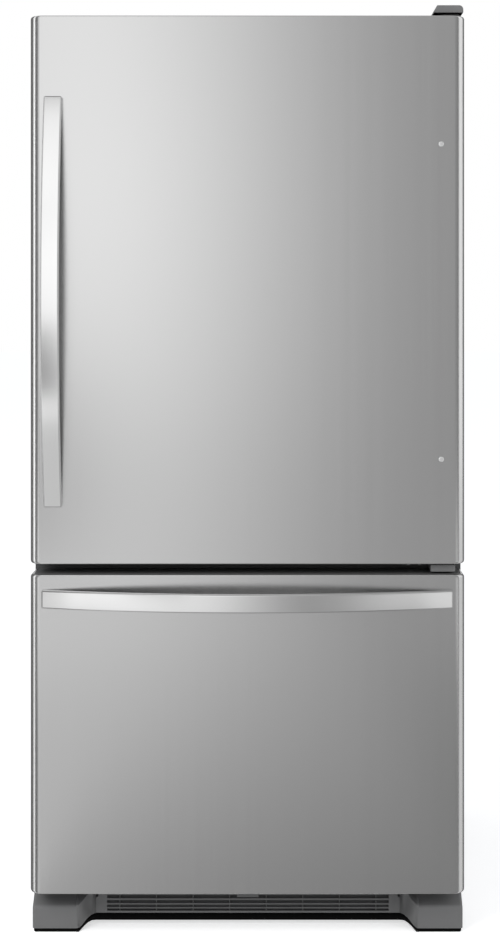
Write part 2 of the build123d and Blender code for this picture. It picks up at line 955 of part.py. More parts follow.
def cord_gland():
    """Rubber grommet in the cover, where a supply cord goes in."""
    with BuildPart() as gland:
        rod((gland_x, rear_y - steel - gland_flange, gland_z), gland_radius, gland_flange, (0, 1, 0))
        rod((gland_x, rear_y - steel, gland_z), gland_neck, steel, (0, 1, 0))
        rod(
            (gland_x, rear_y - steel - 2 * gland_flange, gland_z),
            gland_bore,
            3 * gland_flange + steel,
            (0, 1, 0),
            Mode.SUBTRACT,
        )
    save(gland.part, "cord_gland")


# ---------------------------------------------------------------- hinges on the cabinet
def top_hinge():
    """Joggled steel plate screwed to the cabinet's top, with the door's upper pin."""
    over = door_top + hinge_lift
    step_front = cabinet_front_y + hinge_plate
    with BuildPart() as hinge:
        with BuildSketch(Plane.YZ.offset(hinge_x - hinge_plate_half)):
            with BuildLine():
                Polyline(
                    (hinge_y - hinge_plate_nose, over),
                    (step_front, over),
                    (step_front, cabinet_height),
                    (cabinet_front_y + hinge_plate_length, cabinet_height),
                    (cabinet_front_y + hinge_plate_length, cabinet_height + hinge_plate),
                    (step_front + hinge_plate, cabinet_height + hinge_plate),
                    (step_front + hinge_plate, over + hinge_plate),
                    (hinge_y - hinge_plate_nose, over + hinge_plate),
                    close=True,
                )
            make_face()
        extrude(amount=2 * hinge_plate_half)
        nose = hinge.edges().filter_by(Axis.Z).group_by(Axis.Y)[0]
        fillet(nose, hinge_plate_nose * 0.7)
        rod((hinge_x, hinge_y, over), pin_radius, -hinge_lift - pin_bite, (0, 0, 1))
        for x, y in top_screw_places():
            rod((x, y, cabinet_height), screw_radius, hinge_plate, (0, 0, 1), Mode.SUBTRACT)
    save(hinge.part, "top_hinge")


def top_screw_places():
    """Where the top hinge is screwed down: one screw in front of a pair."""
    front = cabinet_front_y + hinge_plate_length * 0.35
    back = cabinet_front_y + hinge_plate_length * 0.8
    reach = hinge_plate_half / 2
    return [(hinge_x, front), (hinge_x - reach, back), (hinge_x + reach, back)]


def center_screw_places():
    """Where the centre hinge's flange is screwed to the middle rail."""
    right = hinge_x - center_hinge_left
    z = center_hinge_z() + center_hinge_height / 2
    return [(right - center_hinge_flange * share, z) for share in (0.3, 0.75)]


def center_hinge_z():
    """Underside of the centre hinge's arm."""
    return door_bottom - center_hinge_lift - center_hinge_height


def center_hinge():
    """Arm between the fronts that carries the door's lower pin, on a flange on the middle rail."""
    low = center_hinge_z()
    high = low + center_hinge_height
    left = hinge_x - center_hinge_left
    right = hinge_x + center_hinge_right
    front = door_front_y + center_hinge_setback
    wall = center_hinge_wall
    with BuildPart() as hinge:
        block((left, right), (front, cabinet_front_y), (low, high))
        block(
            (left + wall, right - wall),
            (front + wall, cabinet_front_y - wall),
            (low, high - wall),
            Mode.SUBTRACT,
        )
        block((left - center_hinge_flange, right), (cabinet_front_y - wall, cabinet_front_y), (low, high))
        front_edges = hinge.edges().filter_by(Axis.Z).group_by(Axis.Y)[0]
        fillet(front_edges, wall)
        rod((hinge_x, hinge_y, high - wall), pin_radius, wall + center_hinge_lift + pin_bite, (0, 0, 1))
        for x, z in center_screw_places():
            rod((x, cabinet_front_y - wall, z), screw_radius, wall, (0, 1, 0), Mode.SUBTRACT)
    save(hinge.part, "center_hinge")


def hinge_screws():
    """Round-headed screws of both hinges, each with its shank inside the plate that it holds."""
    with BuildPart() as screws:
        for x, y in top_screw_places():
            rod((x, y, cabinet_height), screw_radius, hinge_plate, (0, 0, 1))
            rod((x, y, cabinet_height + hinge_plate), screw_head_radius, screw_head_height, (0, 0, 1))
        face = cabinet_front_y - center_hinge_wall
        for x, z in center_screw_places():
            rod((x, face, z), screw_radius, center_hinge_wall, (0, 1, 0))
            rod((x, face, z), screw_head_radius * 0.9, -screw_head_height, (0, 1, 0))
    save(screws.part, "hinge_screws")


def top_hinge_cover():
    """Grey moulded cap over the top hinge: one leaning side, one rounded shoulder, open below."""
    right = half_cabinet - hinge_cover_side_inset
    left = right - hinge_cover_width
    front = door_front_y + hinge_cover_setback
    top = cabinet_height + hinge_cover_height
    with BuildPart() as cover:
        for grow, mode in ((0, Mode.ADD), (hinge_cover_wall, Mode.SUBTRACT)):
            with BuildSketch(Plane.XZ.offset(-front - grow)):
                with BuildLine():
                    Polyline(
                        (left + grow, cabinet_height),
                        (left + hinge_cover_slope + grow, top - grow),
                        (right - grow, top - grow),
                        (right - grow, cabinet_height),
                        close=True,
                    )
                make_face()
                shoulder = vertices().sort_by(Axis.Y)[-2:].sort_by(Axis.X)
                fillet(shoulder[-1:], hinge_cover_round - grow)
                fillet(shoulder[:1], hinge_cover_round / 2)
            extrude(amount=-(hinge_cover_length - 2 * grow), mode=mode)
        block(
            (left - 1, right + 1),
            (front - 1, cabinet_front_y),
            (cabinet_height - 1, door_top + hinge_cover_skirt_gap),
            Mode.SUBTRACT,
        )
        block(
            (left + 2 * hinge_cover_wall, right + 1),
            (front - 1, cabinet_front_y - gasket_gap),
            (cabinet_height - 1, door_top + hinge_cover_front_gap),
            Mode.SUBTRACT,
        )
    save(cover.part, "top_hinge_cover")


# ---------------------------------------------------------------- fronts
def front_outline(z, inset):
    """Plan of a front at a height: flat face, rounded vertical edges, square back corners."""
    half = half_front - inset
    turn = front_bullnose - inset
    with BuildSketch(Plane.XY.offset(z)) as outline:
        with BuildLine():
            Line((-half, door_back_y), (-half, door_front_y + front_bullnose))
            JernArc((-half, door_front_y + front_bullnose), (0, -1), turn, 90)
            Line((-half + turn, door_front_y + inset), (half - turn, door_front_y + inset))
            JernArc((half - turn, door_front_y + inset), (1, 0), turn, 90)
            Line((half, door_front_y + front_bullnose), (half, door_back_y))
            Line((half, door_back_y), (-half, door_back_y))
        make_face()
    return outline.sketch


def round_front_corners(low, high):
    """Rounds the part being built at a front's four corners, seen from the front."""
    with BuildSketch(Plane.XZ.offset(-door_front_y + 1)) as outline:
        with Locations((0, (low + high) / 2)):
            RectangleRounded(2 * half_front, high - low, front_corner)
    extrude(outline.sketch, amount=-door_depth - 2, mode=Mode.INTERSECT)


def front_panel(low, height, holes, name):
    """Stainless wrap: the front face and both sides of a door, folded from one sheet."""
    with BuildPart() as panel:
        extrude(front_outline(low + cap_lip, 0), amount=height - 2 * cap_lip)
        extrude(front_outline(low + cap_lip, steel), amount=height - 2 * cap_lip, mode=Mode.SUBTRACT)
        round_front_corners(low, low + height)
        for x, z in holes:
            rod((x, door_front_y - 1, z), plug_stem_radius, steel + 2, (0, 1, 0), Mode.SUBTRACT)
    save(panel.part, name)


def end_caps(low, height, pin_holes, name):
    """Grey plastic caps that close a front above and below, the door's with bores for its pins."""
    high = low + height
    with BuildPart() as caps:
        for z, away in ((low, 1), (high, -1)):
            extrude(front_outline(z, 0), amount=away * cap_lip)
            extrude(front_outline(z, steel), amount=away * cap_height)
            if pin_holes:
                rod(
                    (hinge_x, hinge_y, z),
                    pin_radius + pin_clearance,
                    away * (pin_bite + 1),
                    (0, 0, 1),
                    Mode.SUBTRACT,
                )
        round_front_corners(low, high)
    save(caps.part, name)


def raised_core(outer_half, ring, posts, inset, start_y):
    """Ring on a front's inner face that reaches into the compartment, with the posts for door bins."""
    low, high = ring
    hole = dike_width - inset
    with BuildPart() as raised:
        block(
            (-outer_half + inset, outer_half - inset),
            (start_y, door_back_y + dike_height - inset),
            (low + inset, high - inset),
        )
        block(
            (-outer_half + hole, outer_half - hole),
            (start_y, door_back_y + dike_height),
            (low + hole, high - hole),
            Mode.SUBTRACT,
        )
        for side in posts:
            block(
                (side * (rib_outer - inset), side * (rib_outer - rib_width + inset)),
                (start_y, door_back_y + rib_depth - inset),
                (low + inset, high - inset),
            )
    return raised.part


def front_foam(low, height, outer_half, ring, posts, name):
    """Foam core of a front, filling its raised ring too."""
    raised = raised_core(outer_half, ring, posts, liner_wall, door_back_y - liner_wall)
    with BuildPart() as foam:
        extrude(front_outline(low + cap_height, steel), amount=height - 2 * cap_height)
        block(
            (-half_front, half_front),
            (door_back_y - liner_wall, door_back_y),
            (low, low + height),
            Mode.SUBTRACT,
        )
        add(raised)
    save(foam.part, name)


def front_inner(low, height, outer_half, ring, posts, lugs, name):
    """White plastic inner face of a front, thermoformed with its ring and posts hollow at the back."""
    raised = raised_core(outer_half, ring, posts, 0, door_back_y)
    core = raised_core(outer_half, ring, posts, liner_wall, door_back_y - liner_wall)
    half = half_front - steel
    with BuildPart() as inner:
        block(
            (-half, half),
            (door_back_y - liner_wall, door_back_y),
            (low + cap_height, low + height - cap_height),
        )
        add(raised)
        add(core, mode=Mode.SUBTRACT)
        for lift in lugs:
            z = fridge_floor + lift
            for side in (-1, 1):
                post = side * (rib_outer - rib_width)
                block(
                    (post, post - side * lug_size),
                    (door_back_y + rib_depth / 3, door_back_y + rib_depth * 2 / 3),
                    (z - lug_size, z),
                )
    save(inner.part, name)


def gasket(low, high, name):
    """Magnetic seal ring of a front, bevelled on its cabinet side."""
    outer = half_front - gasket_side_margin
    reach = (door_back_y, cabinet_front_y - gasket_clearance)
    with BuildPart() as ring:
        block((-outer, outer), reach, (low, high))
        block(
            (-outer + gasket_width, outer - gasket_width),
            reach,
            (low + gasket_width, high - gasket_width),
            Mode.SUBTRACT,
        )
        chamfer(ring.edges().group_by(Axis.Y)[-1], gasket_edge)
    save(ring.part, name)


def handle(middle, along, across, name):
    """Bowed bar whose ends come home on the front, with two hidden posts to its screws."""
    half = handle_length / 2
    rise = handle_reach - handle_thickness + 1
    radius = (half**2 + rise**2) / (2 * rise)
    side = Plane(origin=middle, x_dir=along, z_dir=across)
    outward = 1 if side.y_dir.Y < 0 else -1
    with BuildSketch(side) as bow:
        with Locations((0, outward * (handle_reach - radius))):
            Circle(radius)
            Circle(radius - handle_thickness, mode=Mode.SUBTRACT)
        with Locations((0, outward * handle_length / 2)):
            Rectangle(handle_length * 1.1, handle_length * 1.1, mode=Mode.INTERSECT)
    with BuildSketch(side) as in_front:
        with Locations((0, outward * handle_length / 2)):
            Rectangle(handle_length, handle_length)
    with BuildPart() as bar:
        extrude(bow.sketch, amount=handle_width / 2, both=True)
        fillet(bar.edges().filter_by(GeomType.CIRCLE), handle_edge)
        extrude(in_front.sketch, amount=handle_width, both=True, mode=Mode.INTERSECT)
        post_reach = handle_reach - handle_thickness / 2 - radius + sqrt(radius**2 - post_half**2)
        for end in (-post_half, post_half):
            start = side.from_local_coords((end, 0, 0))
            rod(start, handle_post_radius, post_reach, (0, -1, 0))
    save(bar.part, name)


def door_plugs():
    """Bright buttons in the spare handle holes, on the hinge side."""
    with BuildPart() as plugs:
        for x, z in plug_places():
            rod((x, door_front_y, z), plug_radius, plug_height, (0, -1, 0))
            rod((x, door_front_y, z), plug_stem_radius, steel, (0, 1, 0))
        rims = plugs.edges().filter_by(GeomType.CIRCLE).group_by(Axis.Y)[0]
        fillet(rims, plug_height * 0.6)
    save(plugs.part, "door_plugs")


def plug_places():
    """(x, z) of the spare handle holes, the mirror image of the handle's own."""
    return [(-handle_x, door_handle_z + end * post_half) for end in (-1, 1)]


def open_tray(x, y, z, wall, corner, floor_wall):
    """A box open at its top with rounded upright corners, in the part being built."""
    middle = ((x[0] + x[1]) / 2, (y[0] + y[1]) / 2)
    for grow, low, mode in ((0, z[0], Mode.ADD), (wall, z[0] + floor_wall, Mode.SUBTRACT)):
        with BuildSketch(Plane.XY.offset(low)) as outline:
            with Locations(middle):
                RectangleRounded(x[1] - x[0] - 2 * grow, y[1] - y[0] - 2 * grow, corner - grow)
        extrude(outline.sketch, amount=z[1] - low, mode=mode)


def door_bins():
    """Clear bins that sit on the door's lugs, between its posts."""
    with BuildPart() as bins:
        for lift in bin_lifts:
            low = fridge_floor + lift
            open_tray(
                (-bin_half, bin_half),
                (door_back_y, bin_back_y),
                (low, low + bin_height),
                bin_wall,
                bin_corner,
                bin_wall,
            )
    save(bins.part, "door_bins")


def dairy_box():
    """Compartment under the door's top edge, open towards the shelves, where its lid hangs."""
    top = fridge_ceiling - dairy_top_gap
    low = dairy_bottom
    back = bin_back_y
    with BuildPart() as box:
        block((-bin_half, bin_half), (door_back_y, back), (low, top))
        block(
            (-bin_half + bin_wall, bin_half - bin_wall),
            (door_back_y + bin_wall, back),
            (low + bin_wall, top - bin_wall),
            Mode.SUBTRACT,
        )
        block(
            (-bin_half + bin_wall, bin_half - bin_wall),
            (lid_axis_y() - lid_barrel - dairy_lid_gap, back),
            (top - 2 * bin_wall, top),
            Mode.SUBTRACT,
        )
        lip = lid_axis_y() + lid_barrel - lid_thickness - dairy_lid_gap
        block((-bin_half, bin_half), (lip - bin_wall, lip), (low, low + dairy_lip))
        rod(
            (-bin_half - 1, lid_axis_y(), lid_axis_z()),
            dairy_pin_radius + dairy_pin_clearance,
            2 * bin_half + 2,
            (1, 0, 0),
            Mode.SUBTRACT,
        )
    save(box.part, "dairy_box")


def lid_axis_y():
    """The dairy lid's pins stand this far back, so that the lid hangs flush with the box's sides."""
    return bin_back_y - lid_barrel


def lid_axis_z():
    """Height of the dairy lid's pins."""
    return fridge_ceiling - dairy_top_gap - lid_barrel - dairy_lid_gap


def dairy_lid():
    """Clear flap with a full-width barrel along its top and a pin at each end."""
    half = bin_half - bin_wall - dairy_lid_gap
    low = dairy_bottom + dairy_lid_gap + bin_wall
    face = lid_axis_y() + lid_barrel
    with BuildPart() as lid:
        block((-half, half), (face - lid_thickness, face), (low, lid_axis_z()))
        rod((-half, lid_axis_y(), lid_axis_z()), lid_barrel, 2 * half, (1, 0, 0))
        rod((-bin_half, lid_axis_y(), lid_axis_z()), dairy_pin_radius, 2 * bin_half, (1, 0, 0))
    save(lid.part, "dairy_lid")


# ---------------------------------------------------------------- fresh food compartment
def shelf_frames():
    """White plastic rims of the three glass shelves, each with a ledge for its glass."""
    with BuildPart() as frames:
        for lift in shelf_lifts:
            low = fridge_floor + lift
            high = low + shelf_frame_height
            block((-shelf_half, shelf_half), (shelf_front_y, shelf_back_y), (low, high))
            inner = shelf_frame_width
            block(
                (-shelf_half + inner, shelf_half - inner),
                (shelf_front_y + inner, shelf_back_y - inner),
                (low, high),
                Mode.SUBTRACT,
            )
            seat = shelf_frame_width - glass_ledge
            block(
                (-shelf_half + seat, shelf_half - seat),
                (shelf_front_y + seat, shelf_back_y - seat),
                (high - glass, high),
                Mode.SUBTRACT,
            )
        nose = frames.edges().filter_by(Axis.X).group_by(Axis.Y)[0]
        fillet(nose, shelf_frame_height * 0.3)
    save(frames.part, "shelf_frames")


def shelf_glass():
    """Toughened panes of the three shelves."""
    seat = shelf_frame_width - glass_ledge + glass_clearance
    with BuildPart() as panes:
        for lift in shelf_lifts:
            high = fridge_floor + lift + shelf_frame_height
            block(
                (-shelf_half + seat, shelf_half - seat),
                (shelf_front_y + seat, shelf_back_y - seat),
                (high - glass, high),
            )
    save(panes.part, "shelf_glass")


def crisper(side, name):
    """Clear drawer on the compartment's floor, with a lipped front to pull it by."""
    inner = crisper_gap / 2
    low = fridge_floor + crisper_floor_clearance
    high = low + crisper_height
    x = sorted((side * inner, side * crisper_outer))
    y = (crisper_front_y, crisper_front_y + crisper_length)
    middle = (x[0] + x[1]) / 2
    with BuildPart() as drawer:
        open_tray(x, y, (low, high), crisper_wall, crisper_corner, crisper_wall)
        block(x, (y[0], y[0] + crisper_face), (low, high))
        block(x, (y[0] - crisper_grip, y[0]), (high - crisper_wall, high))
        block(x, (y[0] - crisper_grip, y[0] - crisper_grip + crisper_wall), (high - crisper_grip, high))
        half = (slider_width + slider_travel) / 2 + slider_gap
        z = slider_z()
        block(
            (middle - half, middle + half),
            (y[0], y[0] + slider_depth),
            (z - slider_height / 2 - slider_gap, z + slider_height / 2 + slider_gap),
            Mode.SUBTRACT,
        )
    save(drawer.part, name)


def slider_z():
    """Middle height of the humidity sliders."""
    return fridge_floor + crisper_height - slider_drop


def humidity_slider(side, name):
    """Small tab in a crisper's face that opens its vent, at the closed end of its track."""
    middle = side * (crisper_gap / 2 + crisper_outer) / 2
    left = middle - (slider_width + slider_travel) / 2
    z = slider_z()
    with BuildPart() as slider:
        block(
            (left, left + slider_width),
            (crisper_front_y + slider_gap, crisper_front_y + slider_depth - slider_gap),
            (z - slider_height / 2, z + slider_height / 2),
        )
        block(
            (left + slider_width / 2 - slider_tab / 2, left + slider_width / 2 + slider_tab / 2),
            (crisper_front_y - slider_depth, crisper_front_y + slider_gap),
            (z - slider_height / 2, z + slider_height / 2),
        )
    save(slider.part, name)


def air_duct():
    """White channel up the back wall that lets cold air out between the shelves."""
    low = fridge_floor + crisper_shelf_lift + duct_margin
    high = fridge_ceiling - duct_margin
    front = room_back_y - duct_depth
    with BuildPart() as duct:
        block((-duct_half_width, duct_half_width), (front, room_back_y), (low, high))
        block(
            (-duct_half_width + duct_wall, duct_half_width - duct_wall),
            (front + duct_wall, room_back_y),
            (low + duct_wall, high - duct_wall),
            Mode.SUBTRACT,
        )
        pitch = (high - low) / duct_slots
        for number in range(duct_slots):
            z = low + (number + 0.5) * pitch
            for side in (-1, 1):
                x = side * duct_half_width / 2
                block(
                    (x - duct_half_width / 3, x + duct_half_width / 3),
                    (front - 1, front + duct_wall + 1),
                    (z - duct_slot_height / 2, z + duct_slot_height / 2),
                    Mode.SUBTRACT,
                )
    save(duct.part, "air_duct")


def control_housing():
    """White housing under the ceiling with bores for both temperature knobs' shafts."""
    front = cabinet_front_y + control_setback
    low = fridge_ceiling - control_height
    with BuildPart() as housing:
        block(
            (-control_half_width, control_half_width), (front, front + control_depth), (low, fridge_ceiling)
        )
        block(
            (-control_half_width + control_wall, control_half_width - control_wall),
            (front + knob_shaft_length, front + control_depth - control_wall),
            (low + control_wall, fridge_ceiling),
            Mode.SUBTRACT,
        )
        for side in (-1, 1):
            rod(
                (side * control_half_width / 2, front - 1, low + control_height / 2),
                knob_shaft_radius + knob_clearance,
                knob_shaft_length + 2,
                (0, 1, 0),
                Mode.SUBTRACT,
            )
    save(housing.part, "control_housing")


def knob(side, name):
    """Round temperature knob with a raised pointer, on its shaft."""
    front = cabinet_front_y + control_setback
    centre = (side * control_half_width / 2, front - knob_gap, fridge_ceiling - control_height / 2)
    with BuildPart() as dial:
        rod(centre, knob_radius, -knob_length, (0, 1, 0))
        chamfer(dial.edges().group_by(Axis.Y)[0], 1.5)
        block(
            (centre[0] - knob_pointer / 2, centre[0] + knob_pointer / 2),
            (centre[1] - knob_length - knob_pointer, centre[1] - knob_length),
            (centre[2], centre[2] + knob_radius - 2),
        )
        rod(centre, knob_shaft_radius, knob_gap + knob_shaft_length, (0, 1, 0))
    save(dial.part, name)


def light_lens():
    """Frosted cover of the ceiling lamp, behind the controls."""
    front = cabinet_front_y + control_setback + control_depth + light_gap
    with BuildPart() as lens:
        block(
            (-light_half_width, light_half_width),
            (front, front + light_depth),
            (fridge_ceiling - light_height, fridge_ceiling),
        )
        fillet(lens.edges().group_by(Axis.Z)[0], light_height * 0.4)
        block(
            (-light_half_width + control_wall, light_half_width - control_wall),
            (front + control_wall, front + light_depth - control_wall),
            (fridge_ceiling - light_height + 2 * control_wall, fridge_ceiling),
            Mode.SUBTRACT,
        )
    save(lens.part, "light_lens")


def light_switch():
    """Plunger beside the ceiling that the closed door holds in."""
    with BuildPart() as plunger:
        rod((switch_x, switch_tip_y, switch_z), switch_radius, switch_length, (0, 1, 0))
        fillet(plunger.edges().group_by(Axis.Y)[0], switch_radius * 0.5)
    save(plunger.part, "light_switch")


# ---------------------------------------------------------------- freezer
def evaporator_cover():
    """White panel in front of the evaporator, with the fan's grille and its motor boss behind."""
    face = evaporator_front_y
    z = freezer_ceiling - evaporator_fan_drop
    opening = evaporator_fan_radius + fan_tip_gap
    with BuildPart() as cover:
        block((-room_half, room_half), (face, face + evaporator_cover_wall), (step_top, freezer_ceiling))
        rod((0, face - 1, z), opening, evaporator_cover_wall + 2, (0, 1, 0), Mode.SUBTRACT)
        for turn in (0, 45, 90, 135):
            with Locations(Location((0, face + evaporator_cover_wall / 2, z), (0, turn, 0))):
                Box(2 * opening + 2, evaporator_cover_wall, fan_spoke)
        for radius in (opening * 0.4, opening * 0.7):
            with BuildSketch(Plane(origin=(0, face, z), z_dir=(0, 1, 0))):
                Circle(radius + fan_spoke / 2)
                Circle(radius - fan_spoke / 2, mode=Mode.SUBTRACT)
            extrude(amount=evaporator_cover_wall)
        back = face + evaporator_cover_wall + fan_tip_gap / 2 + fan_depth + fan_tip_gap / 2
        for side in (-1, 1):
            arm = side * (opening + fan_rim / 2)
            block(
                (arm - fan_rim / 2, arm + fan_rim / 2),
                (face, back + fan_spoke),
                (z - fan_spoke_width, z + fan_spoke_width),
            )
        block(
            (-opening, opening), (back, back + fan_spoke), (z - fan_spoke_width, z + fan_spoke_width)
        )
        rod((0, back, z), motor_radius * 0.7, motor_bore, (0, 1, 0))
        bore = fan_shaft_radius + fan_shaft_clearance
        rod((0, back - 1, z), bore, motor_bore + 2, (0, 1, 0), Mode.SUBTRACT)
        for number in range(return_slots):
            low = step_top + return_lift + number * return_pitch
            for side in (-1, 1):
                x = side * room_half / 2
                block(
                    (x - room_half / 3, x + room_half / 3),
                    (face - 1, face + evaporator_cover_wall + 1),
                    (low, low + return_height),
                    Mode.SUBTRACT,
                )
    save(cover.part, "evaporator_cover")


def channel(side, depth, half_height, reach, length):
    """One C-section slide member, its web at a depth from the wall, in the part being built."""
    web = room_half - depth
    block(
        (side * web, side * (room_half - reach)),
        (slide_front_y, slide_front_y + length),
        (slide_z - half_height, slide_z + half_height),
    )
    block(
        (side * (web - slide_web), side * (room_half - reach)),
        (slide_front_y, slide_front_y + length),
        (slide_z - half_height + slide_web, slide_z + half_height - slide_web),
        Mode.SUBTRACT,
    )


def slide_tracks():
    """Outer members of the drawer's slides, screwed to the freezer's side walls."""
    with BuildPart() as tracks:
        for side in (-1, 1):
            channel(side, 0, slide_height / 2, slide_flange, slide_length)
    save(tracks.part, "slide_tracks")


def slide_middles():
    """Middle members of the slides, which travel half as far as the drawer."""
    half = slide_height / 2 - slide_web - slide_gap
    with BuildPart() as middles:
        for side in (-1, 1):
            channel(side, slide_web + slide_gap, half, slide_flange, slide_length)
    save(middles.part, "slide_middles")


def drawer_frame():
    """Inner slide members welded to the two side arms and the rear tie that carry the freezer bin."""
    half = slide_height / 2 - 2 * slide_web - 2 * slide_gap
    start = 2 * (slide_web + slide_gap)
    ledge = slide_z - arm_drop
    with BuildPart() as frame:
        for side in (-1, 1):
            web = room_half - start
            x = (side * web, side * arm_x)
            block(x, (slide_front_y, slide_back_y), (slide_z - half, slide_z + half))
            block(
                (side * web, side * (arm_x + slide_web)),
                (slide_front_y, slide_back_y),
                (slide_z - half + slide_web, slide_z + half - slide_web),
                Mode.SUBTRACT,
            )
            arm = (side * arm_x, side * arm_inner)
            block(arm, (door_back_y, freezer_bin_back), (ledge, slide_z + half))
            block(arm, (door_back_y, slide_back_y), (slide_z - half, slide_z + half))
            block(
                (side * arm_x, side * (arm_inner - arm_ledge)),
                (freezer_bin_front, freezer_bin_back),
                (ledge - arm_plate, ledge),
            )
            block(
                (side * arm_x, side * (arm_inner - arm_ledge)),
                (door_back_y, door_back_y + arm_plate),
                (ledge - arm_tab, slide_z + half),
            )
        block(
            (-arm_x, arm_x),
            (freezer_bin_back + rim_overlap, freezer_bin_back + rim_overlap + arm_plate),
            (slide_z - half, slide_z - half + tie_height),
        )
    save(frame.part, "drawer_frame")


def freezer_bin():
    """Deep bin that hangs by its rim in the drawer's frame, with slots low in its sides."""
    rim = slide_z - arm_drop
    low = freezer_floor + lower_bin_floor_gap
    y = (freezer_bin_front, freezer_bin_back)
    with BuildPart() as tub:
        open_tray(
            (-freezer_bin_half, freezer_bin_half),
            y,
            (low, rim + lower_bin_wall),
            lower_bin_wall,
            crisper_corner,
            lower_bin_wall,
        )
        for side in (-1, 1):
            block(
                (side * (freezer_bin_half - lower_bin_wall), side * (arm_inner - rim_overlap)),
                (y[0] + crisper_corner, y[1] - crisper_corner),
                (rim, rim + lower_bin_wall),
            )
        pitch = (y[1] - y[0]) / (slot_pattern + 1)
        for number in range(slot_pattern):
            middle = y[0] + (number + 1) * pitch
            block(
                (-freezer_bin_half - 1, freezer_bin_half + 1),
                (middle - pitch / 4, middle + pitch / 4),
                (low + bin_slot_lift, low + bin_slot_lift + bin_slot_height),
                Mode.SUBTRACT,
            )
    save(tub.part, "freezer_bin")


def freezer_basket():
    """Shallow upper basket that slides on the liner's ribs, slotted all round."""
    rim = freezer_ceiling - freezer_basket_drop + basket_clearance
    half = room_half - freezer_rib - basket_side_gap
    front = cabinet_front_y + freezer_basket_front_gap
    back = evaporator_front_y - freezer_basket_back_gap
    low = rim + freezer_basket_wall - freezer_basket_height
    with BuildPart() as basket:
        open_tray(
            (-half, half),
            (front, back),
            (low, rim + freezer_basket_wall),
            freezer_basket_wall,
            crisper_corner,
            freezer_basket_wall,
        )
        for side in (-1, 1):
            block(
                (side * (half - freezer_basket_wall), side * (room_half - basket_side_gap)),
                (front + crisper_corner, back - crisper_corner),
                (rim, rim + freezer_basket_wall),
            )
        pitch = 2 * half / (2 * slot_pattern + 1)
        for number in range(2 * slot_pattern):
            middle = -half + (number + 1) * pitch
            block(
                (middle - pitch / 4, middle + pitch / 4),
                (front - 1, back + 1),
                (low + bin_slot_lift, low + bin_slot_lift + bin_slot_height),
                Mode.SUBTRACT,
            )
    save(basket.part, "freezer_basket")


# ---------------------------------------------------------------- build every piece
door_ring = (fridge_floor + dike_gap, fridge_ceiling - dike_gap)
freezer_ring = (freezer_floor + dike_gap, freezer_ceiling - dike_gap)
both_sides = (-1, 1)

cabinet_wrapper()
cabinet_back()
bottom_plate()
cabinet_foam()
fridge_liner()
freezer_liner()
center_mullion()

base_grille()
toe_pads()
base_frame()
leveling_leg(-1, "leveling_leg_left")
leveling_leg(1, "leveling_leg_right")
rear_rollers()

compressor()
coil_middle = (coil_x, machine_middle_y, deck_height + coil_lift + coil_pitch * coil_passes / 2)
finned_coil(coil_middle, coil_half_length, coil_passes, coil_rows, coil_lift, "condenser_coil")
fan_shroud()
fan_middle = (fan_x, machine_middle_y, fan_centre_height)
fan_wheel(fan_middle, (1, 0, 0), fan_radius, fan_tip_gap - fan_spoke, "condenser_fan")
drain_pan()
machine_cover()
cord_gland()

top_hinge()
top_hinge_cover()
center_hinge()
hinge_screws()

front_panel(door_bottom, door_height, plug_places(), "door_panel")
end_caps(door_bottom, door_height, True, "door_caps")
front_foam(door_bottom, door_height, dike_half, door_ring, both_sides, "door_foam")
front_inner(door_bottom, door_height, dike_half, door_ring, both_sides, bin_lifts, "door_inner")
gasket(door_bottom + gasket_rail_margin, door_top - gasket_top_margin, "door_gasket")
handle((handle_x, door_front_y, door_handle_z), (0, 0, 1), (1, 0, 0), "door_handle")
door_plugs()
door_bins()
dairy_box()
dairy_lid()

shelf_frames()
shelf_glass()
crisper(-1, "crisper_left")
crisper(1, "crisper_right")
humidity_slider(-1, "humidity_slider_left")
humidity_slider(1, "humidity_slider_right")
air_duct()
control_housing()
knob(-1, "freezer_knob")
knob(1, "fridge_knob")
light_lens()
light_switch()

front_panel(freezer_front_bottom, freezer_front_height, (), "freezer_panel")
end_caps(freezer_front_bottom, freezer_front_height, False, "freezer_caps")
front_foam(freezer_front_bottom, freezer_front_height, freezer_dike_half, freezer_ring, (), "freezer_foam")
front_inner(
    freezer_front_bottom, freezer_front_height, freezer_dike_half, freezer_ring, (), (), "freezer_inner"
)
gasket(freezer_front_bottom + gasket_rail_margin, freezer_front_top - gasket_rail_margin, "freezer_gasket")
handle((0, door_front_y, freezer_handle_z), (1, 0, 0), (0, 0, 1), "freezer_handle")
slide_tracks()
slide_middles()
drawer_frame()
freezer_bin()
freezer_basket()
evaporator_y = evaporator_front_y + evaporator_cover_wall
evaporator_middle = (
    0,
    evaporator_y + evaporator_depth / 2,
    step_top + evaporator_lift + coil_pitch * evaporator_passes / 2,
)
finned_coil(
    evaporator_middle,
    evaporator_half_length,
    evaporator_passes,
    evaporator_rows,
    evaporator_lift,
    "evaporator_coil",
)
evaporator_cover()
freezer_fan_middle = (
    0,
    evaporator_y + fan_tip_gap / 2 + fan_depth / 2,
    freezer_ceiling - evaporator_fan_drop,
)
fan_wheel(freezer_fan_middle, (0, 1, 0), evaporator_fan_radius, fan_tip_gap / 2, "evaporator_fan")
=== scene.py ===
# %% [markdown]
# # A bottom freezer refrigerator
# The real appliance is a painted steel cabinet with two foamed fronts wrapped in brushed
# stainless steel. Its solids come from a CAD model, which loads as a fixed frame. This script
# adds what CAD leaves out: rounded edges, small parts, finishes, light and a camera.
# Everything is in metres, in the frame of the CAD model, with the fronts facing -Y.

import bmesh
import bpy
import json
from math import asin, pi, radians, sqrt
from mathutils import Matrix, Vector


